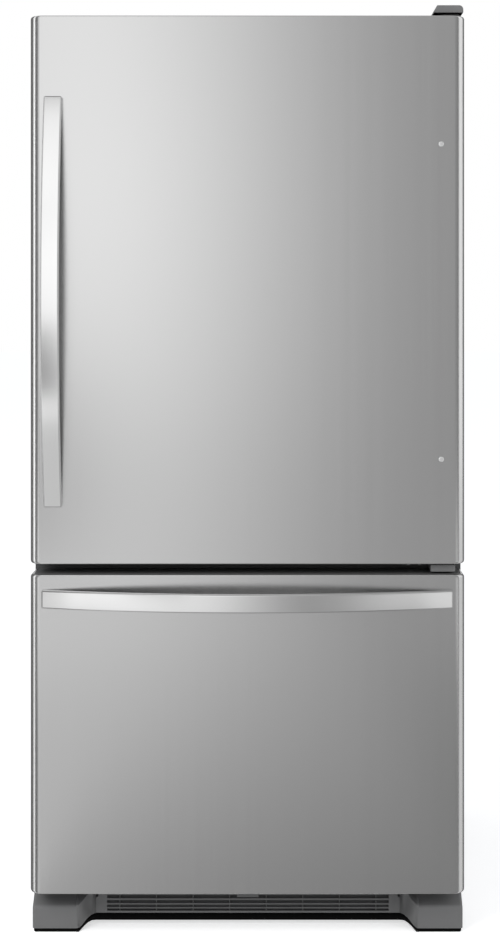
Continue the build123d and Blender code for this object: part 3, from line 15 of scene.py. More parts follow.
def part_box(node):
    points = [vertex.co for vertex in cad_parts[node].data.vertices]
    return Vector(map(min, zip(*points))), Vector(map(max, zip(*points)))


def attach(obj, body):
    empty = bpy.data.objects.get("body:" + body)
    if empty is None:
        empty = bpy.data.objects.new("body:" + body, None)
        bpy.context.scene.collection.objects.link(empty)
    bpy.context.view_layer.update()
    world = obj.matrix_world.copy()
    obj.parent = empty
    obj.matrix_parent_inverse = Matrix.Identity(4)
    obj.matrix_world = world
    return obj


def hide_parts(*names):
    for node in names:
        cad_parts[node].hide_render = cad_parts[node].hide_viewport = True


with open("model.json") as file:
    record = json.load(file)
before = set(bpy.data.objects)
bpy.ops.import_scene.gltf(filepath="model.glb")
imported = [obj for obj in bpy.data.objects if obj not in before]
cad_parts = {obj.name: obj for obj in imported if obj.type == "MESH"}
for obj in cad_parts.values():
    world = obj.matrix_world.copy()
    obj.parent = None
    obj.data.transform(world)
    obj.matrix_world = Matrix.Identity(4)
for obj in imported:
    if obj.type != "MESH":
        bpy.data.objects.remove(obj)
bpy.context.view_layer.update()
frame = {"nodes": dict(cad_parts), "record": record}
body_of_node = {n: b for b, names in frame["record"]["behaviour"]["bodies"].items() for n in names}
slot_of_node = {p["node"]: p["material_slot"] for p in frame["record"]["subparts"]}

# %% [markdown]
# ## The camera
# The photograph was taken level, straight at the fronts, from about as high as the door's
# middle. Sizes in it shrink slowly with depth, so the lens stood some 3.2 m away. Instead of
# tilting down, which would make the sides converge, the picture is shifted, as a product
# photographer does with a view camera.

# %% The camera
FRONT_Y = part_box("door_panel")[0].y
LENS_X = 0.05
LENS_DISTANCE = 3.2
LENS_HEIGHT = 1.2315
camera_data = bpy.data.cameras.new("camera")
camera_data.lens = 64.67
camera_data.sensor_width = 36
camera_data.shift_x = -0.0252
camera_data.shift_y = -0.1912
camera = bpy.data.objects.new("camera", camera_data)
camera.location = (LENS_X, FRONT_Y - LENS_DISTANCE, LENS_HEIGHT)
camera.rotation_euler = (pi / 2, 0, 0)
bpy.context.collection.objects.link(camera)
bpy.context.scene.camera = camera
bpy.context.scene.view_settings.view_transform = "Standard"
print("camera at", tuple(round(v, 3) for v in camera.location))

# %% [markdown]
# ## Effects shared by several finishes
# Brushing, moulded skin and settled dust each show on several materials. Each is one node group
# with named inputs, built once, and every material places it with values of its own.


# %% Tools for node groups and materials
def new_group(name, inputs, outputs):
    """Starts a node group. inputs is {name: default}, outputs a list of names."""
    group = bpy.data.node_groups.new(name, "ShaderNodeTree")
    for label, value in inputs.items():
        kind = "NodeSocketVector" if isinstance(value, tuple) else "NodeSocketFloat"
        socket = group.interface.new_socket(name=label, in_out="INPUT", socket_type=kind)
        socket.default_value = value
    for label in outputs:
        group.interface.new_socket(name=label, in_out="OUTPUT", socket_type="NodeSocketFloat")
    enter = group.nodes.new("NodeGroupInput")
    leave = group.nodes.new("NodeGroupOutput")
    return group, enter.outputs, leave.inputs


def add_node(tree, kind, settings=None, **inputs):
    """Adds a node. settings are its own properties, inputs its sockets by name or number."""
    node = tree.nodes.new("ShaderNode" + kind)
    for key, value in (settings or {}).items():
        setattr(node, key, value)
    for key, value in inputs.items():
        socket = node.inputs[int(key[1:])] if key[0] == "_" else node.inputs[key.replace("_", " ")]
        if isinstance(value, bpy.types.NodeSocket):
            tree.links.new(value, socket)
        else:
            socket.default_value = value
    return node


def maths(tree, operation, a, b, c=0.0, clamp=False):
    """One Math node, given sockets or numbers. c is what MULTIPLY_ADD adds."""
    node = add_node(tree, "Math", {"operation": operation, "use_clamp": clamp}, _0=a, _1=b, _2=c)
    return node.outputs[0]


def remap(tree, value, low, high):
    """Stretches 0..1 to low..high, smoothly."""
    return add_node(tree, "MapRange", Value=value, To_Min=low, To_Max=high).outputs[0]


# %% [markdown]
# Brushing leaves fine parallel scratches and long faint bands. Both are noise, squeezed across the
# lines and drawn out along them. A picture of steel could do it too, but would repeat itself.

# %% Brushed lines
BAND_SHARE = 0.6  # how much of the tone comes from the long bands, the rest from the scratches
brushed, put_in, take_out = new_group(
    "brushed lines", {"Vector": (0.0, 0.0, 0.0), "Lines": (900.0, 900.0, 3.0)}, ["Streak", "Height"]
)
stretched = add_node(brushed, "VectorMath", {"operation": "MULTIPLY"}, _0=put_in[0], _1=put_in[1])
scratches = add_node(brushed, "TexNoise", Vector=stretched.outputs[0], Scale=1.0, Detail=3.0)
bands = add_node(brushed, "TexNoise", Vector=stretched.outputs[0], Scale=0.06, Detail=4.0)
part = maths(brushed, "MULTIPLY", scratches.outputs[0], 1 - BAND_SHARE)
mixed = maths(brushed, "MULTIPLY_ADD", bands.outputs[0], BAND_SHARE, part)
brushed.links.new(mixed, take_out[0])
brushed.links.new(scratches.outputs[0], take_out[1])
print("nodes for brushed lines:", len(brushed.nodes))

# %% [markdown]
# Moulded plastic and baked paint have a skin of small soft pebbles, which breaks up highlights, and
# slow clouds of tone. Cells make the pebbles and noise the clouds.

# %% Moulded skin
moulded, put_in, take_out = new_group(
    "moulded skin", {"Vector": (0.0, 0.0, 0.0), "Grain per metre": 1500.0}, ["Tone", "Height"]
)
pebbles = add_node(moulded, "TexVoronoi", {"feature": "SMOOTH_F1"}, Vector=put_in[0], Scale=put_in[1])
clouds = add_node(moulded, "TexNoise", Vector=put_in[0], Scale=14.0, Detail=5.0)
moulded.links.new(clouds.outputs[0], take_out[0])
moulded.links.new(pebbles.outputs[0], take_out[1])
print("nodes for moulded skin:", len(moulded.nodes))

# %% [markdown]
# Dust lies on what faces up, in patches. The surface's own normal tells where that is, so the dust
# needs no painting.

# %% Settled dust
dusty, put_in, take_out = new_group("settled dust", {"Vector": (0.0, 0.0, 0.0), "Amount": 0.5}, ["Mask"])
patches = add_node(dusty, "TexNoise", Vector=put_in[0], Scale=60.0, Detail=8.0)
upward = add_node(dusty, "SeparateXYZ", Vector=add_node(dusty, "NewGeometry").outputs["Normal"])
facing = remap(dusty, upward.outputs[2], 0.15, 1.0)
covered = maths(dusty, "MULTIPLY", facing, patches.outputs[0])
covered = maths(dusty, "MULTIPLY", covered, put_in[1])
dusty.links.new(covered, take_out[0])
print("shared effects:", [g.name for g in bpy.data.node_groups])


# %% [markdown]
# ## Finishes
# Each material slot of the record gets one procedural material. The Principled shader sits in the
# material itself, and the shared groups feed its colour, roughness and bump. Colours are the real
# ones, so they hold under any light; the near-black plastic is the exception, as painted shade.

# %% One maker for all the finishes
DUST = (0.33, 0.31, 0.28, 1)
materials = {}


def finish(slot, colour, roughness, metallic=0.0, lines=None, grain=1500.0, bump=0.0,
           tone=0.06, uneven=0.12, dust=0.0, **constants):
    """A Principled material. lines brushes it, grain moulds it, dust settles on its tops."""
    material = bpy.data.materials.new(slot)
    material.use_nodes = True
    tree = material.node_tree
    shader = tree.nodes["Principled BSDF"]
    where = add_node(tree, "TexCoord").outputs["Object"]
    if lines:
        effect = add_node(tree, "Group", {"node_tree": brushed}, Vector=where, Lines=lines)
    else:
        effect = add_node(tree, "Group", {"node_tree": moulded}, Vector=where, Grain_per_metre=grain)
    low = tuple(c * (1 - tone) for c in colour) + (1,)
    high = tuple(min(1.0, c * (1 + tone)) for c in colour) + (1,)
    mix = add_node(tree, "Mix", {"data_type": "RGBA"}, _0=effect.outputs[0], _6=low, _7=high)
    tint = mix.outputs[2]
    if dust:
        mask = add_node(tree, "Group", {"node_tree": dusty}, Vector=where, Amount=dust).outputs[0]
        tint = add_node(tree, "Mix", {"data_type": "RGBA"}, _0=mask, _6=tint, _7=DUST).outputs[2]
    tree.links.new(tint, shader.inputs["Base Color"])
    rough = remap(tree, effect.outputs[0], roughness * (1 - uneven), roughness * (1 + uneven))
    tree.links.new(rough, shader.inputs["Roughness"])
    shader.inputs["Metallic"].default_value = metallic
    for key, value in constants.items():
        shader.inputs[key.replace("_", " ")].default_value = value
    if bump:
        relief = add_node(tree, "Bump", Height=effect.outputs[1], Strength=0.5, Distance=bump)
        tree.links.new(relief.outputs[0], shader.inputs["Normal"])
    materials[slot] = material


# %% [markdown]
# The fronts are stainless steel, brushed upright. The bars are smoother and brighter, and the
# cabinet is grey baked paint. What nobody sees from the room is zinc, black paint or bare tube.

# %% Metals
finish("stainless", (0.6, 0.6, 0.6), 0.24, 1.0, lines=(1400.0, 1400.0, 4.0), bump=0.00001, tone=0.03)
finish("handle_metal", (0.7, 0.7, 0.7), 0.16, 1.0, lines=(60.0, 900.0, 60.0), bump=0.000005, tone=0.02)
finish("cabinet_paint", (0.30, 0.30, 0.31), 0.42, grain=700.0, bump=0.00025)
finish("zinc_steel", (0.52, 0.53, 0.54), 0.42, 1.0, lines=(70.0, 70.0, 70.0), tone=0.16)
finish("black_steel", (0.08, 0.08, 0.08), 0.5, grain=900.0, bump=0.0001, Specular_IOR_Level=0.25)
finish("compressor_black", (0.012, 0.012, 0.013), 0.28, grain=120.0, bump=0.0003, dust=0.5)
finish("coil_metal", (0.6, 0.6, 0.59), 0.35, 1.0, lines=(500.0, 40.0, 40.0), tone=0.1)
finish("plug_metal", (0.92, 0.92, 0.92), 0.2, 0.83, lines=(300.0, 300.0, 300.0), tone=0.02)
print("metals and paints:", len(materials))

# %% [markdown]
# Trim is grey or black plastic, the black one drawn blacker and duller than real plastic as painted
# shade. The rooms inside are white and slightly glossy, seals are soft vinyl, and the foam behind it
# all is a pale yellow.

# %% Plastics, rubber and foam
finish("grey_plastic", (0.153, 0.153, 0.153), 0.5, grain=2200.0, bump=0.00008)
finish("cap_plastic", (0.13, 0.13, 0.13), 0.5, grain=2200.0, bump=0.00005, Specular_IOR_Level=0.3)
# painted shade: black_plastic is blacker and duller than any real plastic, for the shaded lip under the
# kick panel
finish("black_plastic", (0.003, 0.003, 0.003), 0.7, grain=1800.0, bump=0.00008, Specular_IOR_Level=0.04)
finish("white_liner", (0.83, 0.84, 0.84), 0.26, grain=160.0, bump=0.00012, tone=0.012, Coat_Weight=0.25)
finish("white_plastic", (0.81, 0.82, 0.82), 0.38, grain=1400.0, bump=0.00005, tone=0.015)
finish("seal", (0.30, 0.30, 0.30), 0.62, grain=900.0, bump=0.0001)
finish("foam", (0.86, 0.78, 0.52), 0.9, grain=500.0, bump=0.0006, tone=0.12)
print("with plastics and foam:", len(materials))

# %% [markdown]
# Bins and crispers are clear plastic, and the shelves are glass. What lies behind them would turn
# too dark, because here no lamp shines straight through glass. A part of plain transparency, the
# Alpha, lets it through.

# %% Clear mouldings and glass
finish("clear_plastic", (0.985, 0.99, 0.99), 0.04, grain=200.0, bump=0.00004, tone=0.01,
       Transmission_Weight=0.96, IOR=1.4, Alpha=0.5)
finish("frosted_plastic", (0.95, 0.95, 0.93), 0.35, grain=900.0, bump=0.0001, tone=0.01,
       Transmission_Weight=0.5, IOR=1.49)
finish("shelf_glass", (0.94, 0.985, 0.97), 0.02, grain=60.0, tone=0.02,
       Transmission_Weight=0.97, IOR=1.45, Alpha=0.6)

for name, node in frame["nodes"].items():
    node.data.materials.clear()
    node.data.materials.append(materials[slot_of_node[name]])
print("finishes:", len(materials))

# %% [markdown]
# ## Light
# A plain soft light: an even sky for the matt surfaces, a wide lamp above on the left and a weaker
# one on the right. The background has to be pure white, yet white all round would wash out the
# steel. So the sky has a strength for each kind of ray: white to the camera, dimmer in
# reflections, and dimmer again as light.

# %% Background and lamps
STEEL_DIM = 0.4  # how much darker the open studio is in reflections than in the picture
SKY_LIGHT = 0.58


def picture_rays(tree):
    """The light path, and one for rays that make the picture: direct, reflected or through glass."""
    path = add_node(tree, "LightPath").outputs
    seen = maths(tree, "ADD", path["Is Camera Ray"], path["Is Glossy Ray"])
    return path, maths(tree, "ADD", seen, path["Is Transmission Ray"], clamp=True)


world = bpy.data.worlds.new("studio")
bpy.context.scene.world = world
world.use_nodes = True
sky = world.node_tree
sky.nodes.clear()
path, seen = picture_rays(sky)
even = add_node(sky, "Background", Color=(0.95, 0.97, 1.0, 1), Strength=SKY_LIGHT)
dimmed = maths(sky, "MULTIPLY_ADD", path["Is Glossy Ray"], -STEEL_DIM, 1.0)
white = add_node(sky, "Background", Color=(1, 1, 1, 1), Strength=dimmed)
both = add_node(sky, "MixShader", _0=seen, _1=even.outputs[0], _2=white.outputs[0])
add_node(sky, "OutputWorld", Surface=both.outputs[0])


def area_lamp(name, place, target, size, power):
    """A soft rectangular lamp that points at a target."""
    data = bpy.data.lights.new(name, "AREA")
    data.shape = "RECTANGLE"
    data.size, data.size_y = size
    data.energy = power
    lamp = bpy.data.objects.new(name, data)
    lamp.location = place
    lamp.rotation_euler = (Vector(target) - Vector(place)).to_track_quat("-Z", "Y").to_euler()
    lamp.visible_glossy = False
    bpy.context.collection.objects.link(lamp)
    print("lamp", name, "of", power, "W")


LIT_POINT = (0, -0.2, 0.9)
area_lamp("key", (-2.6, -3.2, 3.4), LIT_POINT, (2.4, 2.4), 120)
area_lamp("fill", (2.8, -2.6, 2.2), LIT_POINT, (2.0, 2.4), 37)

# %% [markdown]
# ## Cards for the steel
# Brushed steel has hardly a tone of its own: it shows what stands around it, blurred. So a
# photographer puts pale and dark boards round it. Lamps could do that too, but a board's
# brightness can be drawn: here each one glows by a formula of place, and only reflections see it.


# %% Tools for cards
CARD_HALF = 3.0
CARD_Y = -3.0
CARD_TOP = 3.4
FRONT_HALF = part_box("door_panel")[1].x


def ramp(tree, value, stops):
    """A colour ramp of greys over 0..1, from (place, level) pairs up to level 2."""
    node = add_node(tree, "ValToRGB", Fac=value)
    elements = node.color_ramp.elements
    while len(elements) < len(stops):
        elements.new(0.5)
    for element, (place, level) in zip(elements, stops):
        element.position = place
        element.color = (level / 2, level / 2, level / 2, 1)
    return maths(tree, "MULTIPLY", node.outputs[0], 2.0)


def card(name, corners, level):
    """A flat card that only reflections see. level(tree, x, y, z) gives its brightness."""
    shape = bmesh.new()
    shape.faces.new([shape.verts.new(c) for c in corners])
    mesh = bpy.data.meshes.new(name)
    shape.to_mesh(mesh)
    shape.free()
    material = bpy.data.materials.new(name)
    material.use_nodes = True
    tree = material.node_tree
    tree.nodes.clear()
    where = add_node(tree, "SeparateXYZ", Vector=add_node(tree, "TexCoord").outputs["Object"])
    glow = add_node(tree, "Emission", Strength=level(tree, *where.outputs))
    add_node(tree, "OutputMaterial", Surface=glow.outputs[0])
    mesh.materials.append(material)
    panel = bpy.data.objects.new(name, mesh)
    bpy.context.collection.objects.link(panel)
    panel.visible_camera = panel.visible_diffuse = panel.visible_shadow = False
    panel.visible_transmission = False
    print("card", name)


def share(tree, value, start, length):
    """How far value is along a stretch, as 0..1."""
    shifted = maths(tree, "SUBTRACT", value, start)
    return maths(tree, "DIVIDE", shifted, length)


def low_share(tree, z):
    """One near the floor, nothing above half a metre."""
    return ramp(tree, share(tree, z, 0, 1.0), [(0.3, 1.0), (0.5, 0.0)])


# %% [markdown]
# The wide board in front fades from bright at the upper left to grey at the lower right. It rises
# again low down at both ends, where the freezer's bent bar looks, and a darker flag at the left
# stands where the door's bar turns dark below its middle. The mat on the floor carries the fade on,
# for the lower parts that reflect the floor.


# %% The board in front and the mat before it
FLOOR_CARD_Z = 0.003
FLOOR_CARD_BACK = -0.34
MAT_HALF = FRONT_HALF + 0.02


def front_level(tree, x, y, z):
    """The board's brightness: from left to right, with its low ends and its flag."""
    across = share(tree, x, -CARD_HALF, 2 * CARD_HALF)
    up = share(tree, z, 0, CARD_TOP)
    left = ramp(tree, up, [(0.0, 1.05), (0.05, 1.22), (0.09, 1.12), (0.17, 1.12), (0.24, 1.36),
                           (0.31, 1.48), (0.38, 1.54), (0.47, 1.6), (0.62, 1.5), (1.0, 1.27)])
    right = ramp(tree, up, [(0.0, 0.37), (0.06, 0.355), (0.12, 0.35), (0.3, 0.38), (1.0, 0.39)])
    side = ramp(tree, across, [(0.367, 0.0), (0.408, 0.08), (0.455, 0.28), (0.5, 0.56),
                               (0.548, 0.82), (0.595, 0.97), (0.642, 1.0)])
    level = add_node(tree, "Mix", {"data_type": "FLOAT"}, _0=side, _2=left, _3=right).outputs[0]
    rise = ramp(tree, across, [(0.58, 0.0), (0.65, 0.15), (0.7, 0.35), (0.75, 0.48)])
    level = maths(tree, "ADD", level, maths(tree, "MULTIPLY", rise, low_share(tree, z)))
    flag = maths(tree, "MULTIPLY",
                 ramp(tree, across, [(0.28, 0.0), (0.32, 1.0), (0.385, 1.0), (0.4, 0.0)]),
                 ramp(tree, up, [(0.06, 0.0), (0.1, 0.75), (0.26, 0.75), (0.31, 0.1), (0.36, 0.16),
                                 (0.62, 0.16), (0.7, 0.0)]))
    level = maths(tree, "SUBTRACT", level, flag)
    low_left = maths(tree, "MULTIPLY", low_share(tree, z), ramp(tree, across, [(0.3, 0.56), (0.37, 0.0)]))
    far_left = maths(tree, "ADD", ramp(tree, across, [(0.3, 0.62), (0.36, 1.0)]), low_left)
    return maths(tree, "MULTIPLY", level, far_left)


def mat_level(tree, x, y, z):
    """The mat's brightness: from left to right, and falling towards the appliance."""
    across = share(tree, x, -CARD_HALF, 2 * CARD_HALF)
    level = ramp(tree, across, [(0.4, 0.92), (0.433, 0.73), (0.467, 0.61), (0.5, 0.52), (0.573, 0.41)])
    near = share(tree, y, CARD_Y, -CARD_Y)
    depth = ramp(tree, near, [(0.0, 1.12), (0.23, 1.08), (0.47, 0.95), (0.78, 0.72)])
    return maths(tree, "MULTIPLY", level, depth)


card("front_card", [(CARD_HALF, CARD_Y, 0), (-CARD_HALF, CARD_Y, 0),
                    (-CARD_HALF, CARD_Y, CARD_TOP), (CARD_HALF, CARD_Y, CARD_TOP)], front_level)
card("floor_card", [(-MAT_HALF, FLOOR_CARD_BACK, FLOOR_CARD_Z), (-MAT_HALF, CARD_Y, FLOOR_CARD_Z),
                    (MAT_HALF, CARD_Y, FLOOR_CARD_Z), (MAT_HALF, FLOOR_CARD_BACK, FLOOR_CARD_Z)],
     mat_level)

# %% [markdown]
# The fronts' rounded edges look sideways. The photograph has one narrow bright strip on each edge
# between dark lines, so each side gets a wall, with a mat that carries it on along the floor. Seen
# from an edge, what lies in one direction must look the same wherever the wall ends and the mat
# starts, so the brightness follows the direction: depth behind the front over distance sideways.


# %% The walls and mats at both sides
WALL_X = 1.8
WALL_LENGTH = 8.0
SIDE_MAT_Z, WALL_FROM_Z = 0.004, 0.01
SLOPES = 2.0  # the steepest slope that the formula tells apart
SOFT_EDGE, HARD_EDGE = 0.06, 0.02


def side_cards(name, side, near, low, low_end, dark, shade, strip, level, behind, fall):
    """A wall and a mat at one side. dark, strip and low_end are slopes: where the dark stretch
    begins, from where to where the bright strip goes, and where the low brighter part ends.
    near, low, shade, level and behind are brightnesses. fall holds the heights where the strip
    is dimmest and where it is full, and its dimmest share."""

    def brightness(tree, x, y, z):
        sideways = maths(tree, "MULTIPLY_ADD", x, side, -FRONT_HALF)
        slope = maths(tree, "DIVIDE", maths(tree, "SUBTRACT", y, FRONT_Y), sideways)
        along = share(tree, slope, -SLOPES, 2 * SLOPES)
        dark_at, from_at, to_at = (0.5 + s / (2 * SLOPES) for s in (dark, *strip))
        base = ramp(tree, along, [(dark_at - SOFT_EDGE, near), (dark_at, shade), (to_at, shade),
                                  (to_at + HARD_EDGE, behind)])
        extra = ramp(tree, along, [(from_at - HARD_EDGE, 0.0), (from_at, level - shade),
                                   (to_at, level - shade), (to_at + HARD_EDGE, 0.0)])
        fading = ramp(tree, z, [(fall[0], fall[2]), (fall[1], 1.0)])
        bright = maths(tree, "ADD", base, maths(tree, "MULTIPLY", extra, fading))
        low_at = 0.5 + low_end / (2 * SLOPES)
        front = ramp(tree, along, [(low_at - SOFT_EDGE, low), (low_at, 0.0)])
        on_wall = maths(tree, "GREATER_THAN", z, WALL_FROM_Z)
        above = maths(tree, "MULTIPLY", low_share(tree, z), on_wall)
        return maths(tree, "ADD", bright, maths(tree, "MULTIPLY", front, above))

    x, back, edge = side * WALL_X, CARD_Y + WALL_LENGTH, side * MAT_HALF
    card(name + "_wall", [(x, CARD_Y, 0), (x, back, 0), (x, back, CARD_TOP), (x, CARD_Y, CARD_TOP)],
         brightness)
    card(name + "_mat", [(edge, CARD_Y, SIDE_MAT_Z), (x, CARD_Y, SIDE_MAT_Z),
                         (x, back, SIDE_MAT_Z), (edge, back, SIDE_MAT_Z)], brightness)


side_cards("left", -1, near=0.75, low=0.85, low_end=-1.1,
           dark=-1.6, shade=0.2, strip=(-0.42, -0.11), level=1.95, behind=0.2,
           fall=(0.36, 0.5, 0.75))
side_cards("right", 1, near=0.3, low=0.75, low_end=-1.0,
           dark=-1.0, shade=0.26, strip=(-0.70, 0.32), level=1.2, behind=0.22,
           fall=(0.5, 0.85, 0.66))

# %% [markdown]
# ## The floor
# A plain pale floor that runs on to the horizon. It adds a glow to its own colour for the rays that
# make the picture, so it comes out white as the background is, and keeps the soft shadow.

# %% The floor
FLOOR_COLOUR = (0.8, 0.8, 0.8, 1)
FLOOR_GLOW = 0.55
plane = bmesh.new()
bmesh.ops.create_grid(plane, x_segments=1, y_segments=1, size=30)
floor_mesh = bpy.data.meshes.new("floor")
plane.to_mesh(floor_mesh)
plane.free()
floor = bpy.data.objects.new("floor", floor_mesh)
bpy.context.collection.objects.link(floor)
floor_material = bpy.data.materials.new("floor")
floor_material.use_nodes = True
tree = floor_material.node_tree
tree.nodes.clear()
seen = picture_rays(tree)[1]
matte = add_node(tree, "BsdfDiffuse", Color=FLOOR_COLOUR)
strength = maths(tree, "MULTIPLY", seen, FLOOR_GLOW)
glow = add_node(tree, "Emission", Color=(1, 1, 1, 1), Strength=strength)
whole = add_node(tree, "AddShader", _0=matte.outputs[0], _1=glow.outputs[0])
add_node(tree, "OutputMaterial", Surface=whole.outputs[0])
floor_mesh.materials.append(floor_material)
print("floor faces:", len(floor_mesh.polygons))

# %% [markdown]
# ## How pieces are made
# A new piece starts as a bmesh, is shaped by bmesh operators, and becomes an object that stays at
# the origin with its place in its mesh. It hangs from an empty named for its CAD body, and the CAD
# nodes that it stands for are hidden.


# %% From a bmesh to a piece
def piece(shape, name, slot, body, *stands_for, smooth=38):
    """Makes an object of a bmesh, with its finish, its body and the CAD nodes that it replaces."""
    mesh = bpy.data.meshes.new(name)
    shape.to_mesh(mesh)
    shape.free()
    mesh.materials.append(materials[slot])
    mesh.shade_smooth()
    mesh.set_sharp_from_angle(angle=radians(smooth))
    thing = bpy.data.objects.new(name, mesh)
    bpy.context.collection.objects.link(thing)
    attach(thing, body)
    if stands_for:
        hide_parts(*stands_for)
    return thing


def even_shading(thing):
    """Keeps large flat faces flat in shade, with all of the turn in the rounded edges."""
    thing.modifiers.new("even shading", "WEIGHTED_NORMAL").keep_sharp = True
    return thing


def close(shape):
    """Merges doubles and turns all faces outwards."""
    bmesh.ops.remove_doubles(shape, verts=shape.verts, dist=1e-6)
    bmesh.ops.recalc_face_normals(shape, faces=shape.faces)


def bevelled(shape, geom, width, segments, affect="EDGES"):
    """Rounds edges or corners off, starting this far from them. One segment cuts them flat."""
    bmesh.ops.bevel(shape, geom=geom, offset=width, offset_type="OFFSET", affect=affect,
                    segments=segments, profile=0.5, material=-1)


def give_wall(thing, thickness, offset=-1):
    """Gives a sheet its thickness, away from its visible side or to both sides of it."""
    wall = thing.modifiers.new("wall", "SOLIDIFY")
    wall.thickness, wall.offset = thickness, offset
    return thing


def everything(shape):
    """All of a bmesh, as the operators that cut and turn want it."""
    return shape.verts[:] + shape.edges[:] + shape.faces[:]


def new_verts(made):
    """The vertices among what an operator made."""
    return [v for v in made if isinstance(v, bmesh.types.BMVert)]


# %% [markdown]
# ## The stainless skins
# Each front is wrapped in one steel sheet, folded back round both sides on a 20 mm radius. The
# folded plan starts as a bent wire: its two front corners are bevelled into arcs, and the wire is
# extruded upwards in steps. Close to the ends the rows get narrower, which rounds the corners.

# %% The skins
BULLNOSE = 0.020
CORNER = 0.006
EDGE_ROUND = 0.002
CAP_LIP = 0.003
SHEET = 0.001
ROW_DISTANCES = [0.0, 0.0003, 0.0008, 0.0014, EDGE_ROUND, 0.003, 0.0042, CORNER]


def rounded_away(distance, radius):
    """How far a rounded edge has turned in, this far from its end."""
    return radius - sqrt(radius**2 - (radius - distance) ** 2) if distance < radius else 0.0


def front_skin(node, name):
    """One front's steel, from its folded plan and rows that get narrower towards both ends."""
    low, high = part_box(node)
    shape = bmesh.new()
    plan = [(low.x, high.y), (low.x, low.y), (high.x, low.y), (high.x, high.y)]
    points = [shape.verts.new((x, y, low.z)) for x, y in plan]
    for a, b in zip(points, points[1:]):
        shape.edges.new((a, b))
    bevelled(shape, points[1:3], BULLNOSE, 14, "VERTICES")
    bottom, top = low.z - CAP_LIP, high.z + CAP_LIP
    heights = [bottom + d for d in ROW_DISTANCES] + [top - d for d in reversed(ROW_DISTANCES)]
    row = shape.edges[:]
    for z in heights:
        if z > bottom:
            made = bmesh.ops.extrude_edge_only(shape, edges=row)["geom"]
            row = [e for e in made if isinstance(e, bmesh.types.BMEdge)]
        for vert in {v for e in row for v in e.verts}:
            vert.co.z = z
    half, depth = high.x, high.y - low.y
    for vert in shape.verts:
        distance = max(0.0, min(vert.co.z - bottom, top - vert.co.z))
        turned_in = rounded_away(distance, EDGE_ROUND)
        vert.co.x *= (half - rounded_away(distance, CORNER) - turned_in) / half
        vert.co.y = high.y - (high.y - vert.co.y) * (depth - turned_in) / depth
    bmesh.ops.recalc_face_normals(shape, faces=shape.faces)
    shape.normal_update()
    if sum(f.normal.y * f.calc_area() for f in shape.faces) > 0:
        bmesh.ops.reverse_faces(shape, faces=shape.faces)
    even_shading(give_wall(piece(shape, name, "stainless", body_of_node[node], node), SHEET))
    print(name, "is", round(top - bottom, 4), "m tall")


front_skin("door_panel", "door_skin")
front_skin("freezer_panel", "freezer_skin")

# %% [markdown]
# ## The bar handles
# Each bar is a rounded strip bent on a radius of some 1.57 m, so that only its ends meet the
# front. The strip's section is spun about the centre of that bend, then two planes trim its ends,
# and the trimmed edges get the narrow facets that catch the light.

# %% The bars
BAR_WIDTH = 0.034
BAR_THICK = 0.013
BAR_LENGTH = 0.778
BAR_REACH = 0.061
BAR_RISE = BAR_REACH - BAR_THICK + 0.001
BEND = ((BAR_LENGTH / 2) ** 2 + BAR_RISE**2) / (2 * BAR_RISE)
BAR_ROUND, FACET, BAR_CLEAR = 0.0025, 0.0022, 0.0001
SWEEP_SPARE = 1.06  # swept past both ends, which the cuts then trim
POST_AT, POST_RADIUS = 0.299, 0.007


def bar(node, name):
    """A bent bar, made upright about the height of zero, then turned and put in its place."""
    low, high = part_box(node)
    middle = (low + high) / 2
    upright = high.z - low.z > high.x - low.x
    shape = bmesh.new()
    front = FRONT_Y - BAR_REACH
    section = [(-BAR_WIDTH / 2, front), (BAR_WIDTH / 2, front),
               (BAR_WIDTH / 2, front + BAR_THICK), (-BAR_WIDTH / 2, front + BAR_THICK)]
    strip = shape.faces.new([shape.verts.new((x, y, 0)) for x, y in section])
    bevelled(shape, strip.verts[:], BAR_ROUND, 4, "VERTICES")
    sweep = asin(BAR_LENGTH / 2 / BEND) * SWEEP_SPARE
    hub = Vector((0, front + BEND, 0))
    bmesh.ops.rotate(shape, verts=shape.verts, cent=hub, matrix=Matrix.Rotation(-sweep, 3, "X"))
    bmesh.ops.spin(shape, geom=everything(shape), cent=hub, axis=(1, 0, 0),
                   angle=2 * sweep, steps=56, use_merge=False)
    cuts = [((0, 0, BAR_LENGTH / 2), (0, 0, 1)), ((0, 0, -BAR_LENGTH / 2), (0, 0, -1)),
            ((0, FRONT_Y - BAR_CLEAR, 0), (0, 1, 0))]
    for place, away in cuts:
        cut = bmesh.ops.bisect_plane(shape, geom=everything(shape), plane_co=place, plane_no=away,
                                     clear_outer=True, dist=1e-7)["geom_cut"]
        rim = [e for e in cut if isinstance(e, bmesh.types.BMEdge)]
        bmesh.ops.holes_fill(shape, edges=[e for e in shape.edges if e.is_boundary], sides=0)
        if away[2]:
            bevelled(shape, [e for e in rim if e.is_valid], FACET, 1)
    close(shape)
    if not upright:
        lying = Matrix.Rotation(pi / 2, 3, "Y")
        bmesh.ops.rotate(shape, verts=shape.verts, cent=(0, 0, 0), matrix=lying)
    bmesh.ops.translate(shape, verts=shape.verts, vec=(middle.x, 0, middle.z))
    along = Vector((0, 0, 1)) if upright else Vector((1, 0, 0))
    depth = BAR_REACH - BAR_THICK / 2 - BEND + sqrt(BEND**2 - POST_AT**2)
    for side in (-1, 1):
        at = Vector((middle.x, FRONT_Y - depth / 2, middle.z)) + along * side * POST_AT
        matrix = Matrix.Translation(at) @ Matrix.Rotation(pi / 2, 4, "X")
        bmesh.ops.create_cone(shape, cap_ends=True, segments=28, radius1=POST_RADIUS,
                              radius2=POST_RADIUS, depth=depth, matrix=matrix)
    even_shading(piece(shape, name, "handle_metal", body_of_node[node], node, smooth=30))
    print(name, "is bent on", round(BEND, 3), "m")


bar("door_handle", "door_bar")
bar("freezer_handle", "freezer_bar")

# %% [markdown]
# ## Softened copies of the CAD pieces
# Most mouldings and stampings already have their real shape in CAD, but with knife edges. A copy
# of each is merged, its flat triangles dissolved into whole faces, and its edges rounded by a
# bevel modifier. The copy then stands for the CAD node. A few copies are changed first: the kick
# panel loses its ends, which become toes, the end caps shrink into their steel, and the plugs get
# the wide heads that cover their holes.


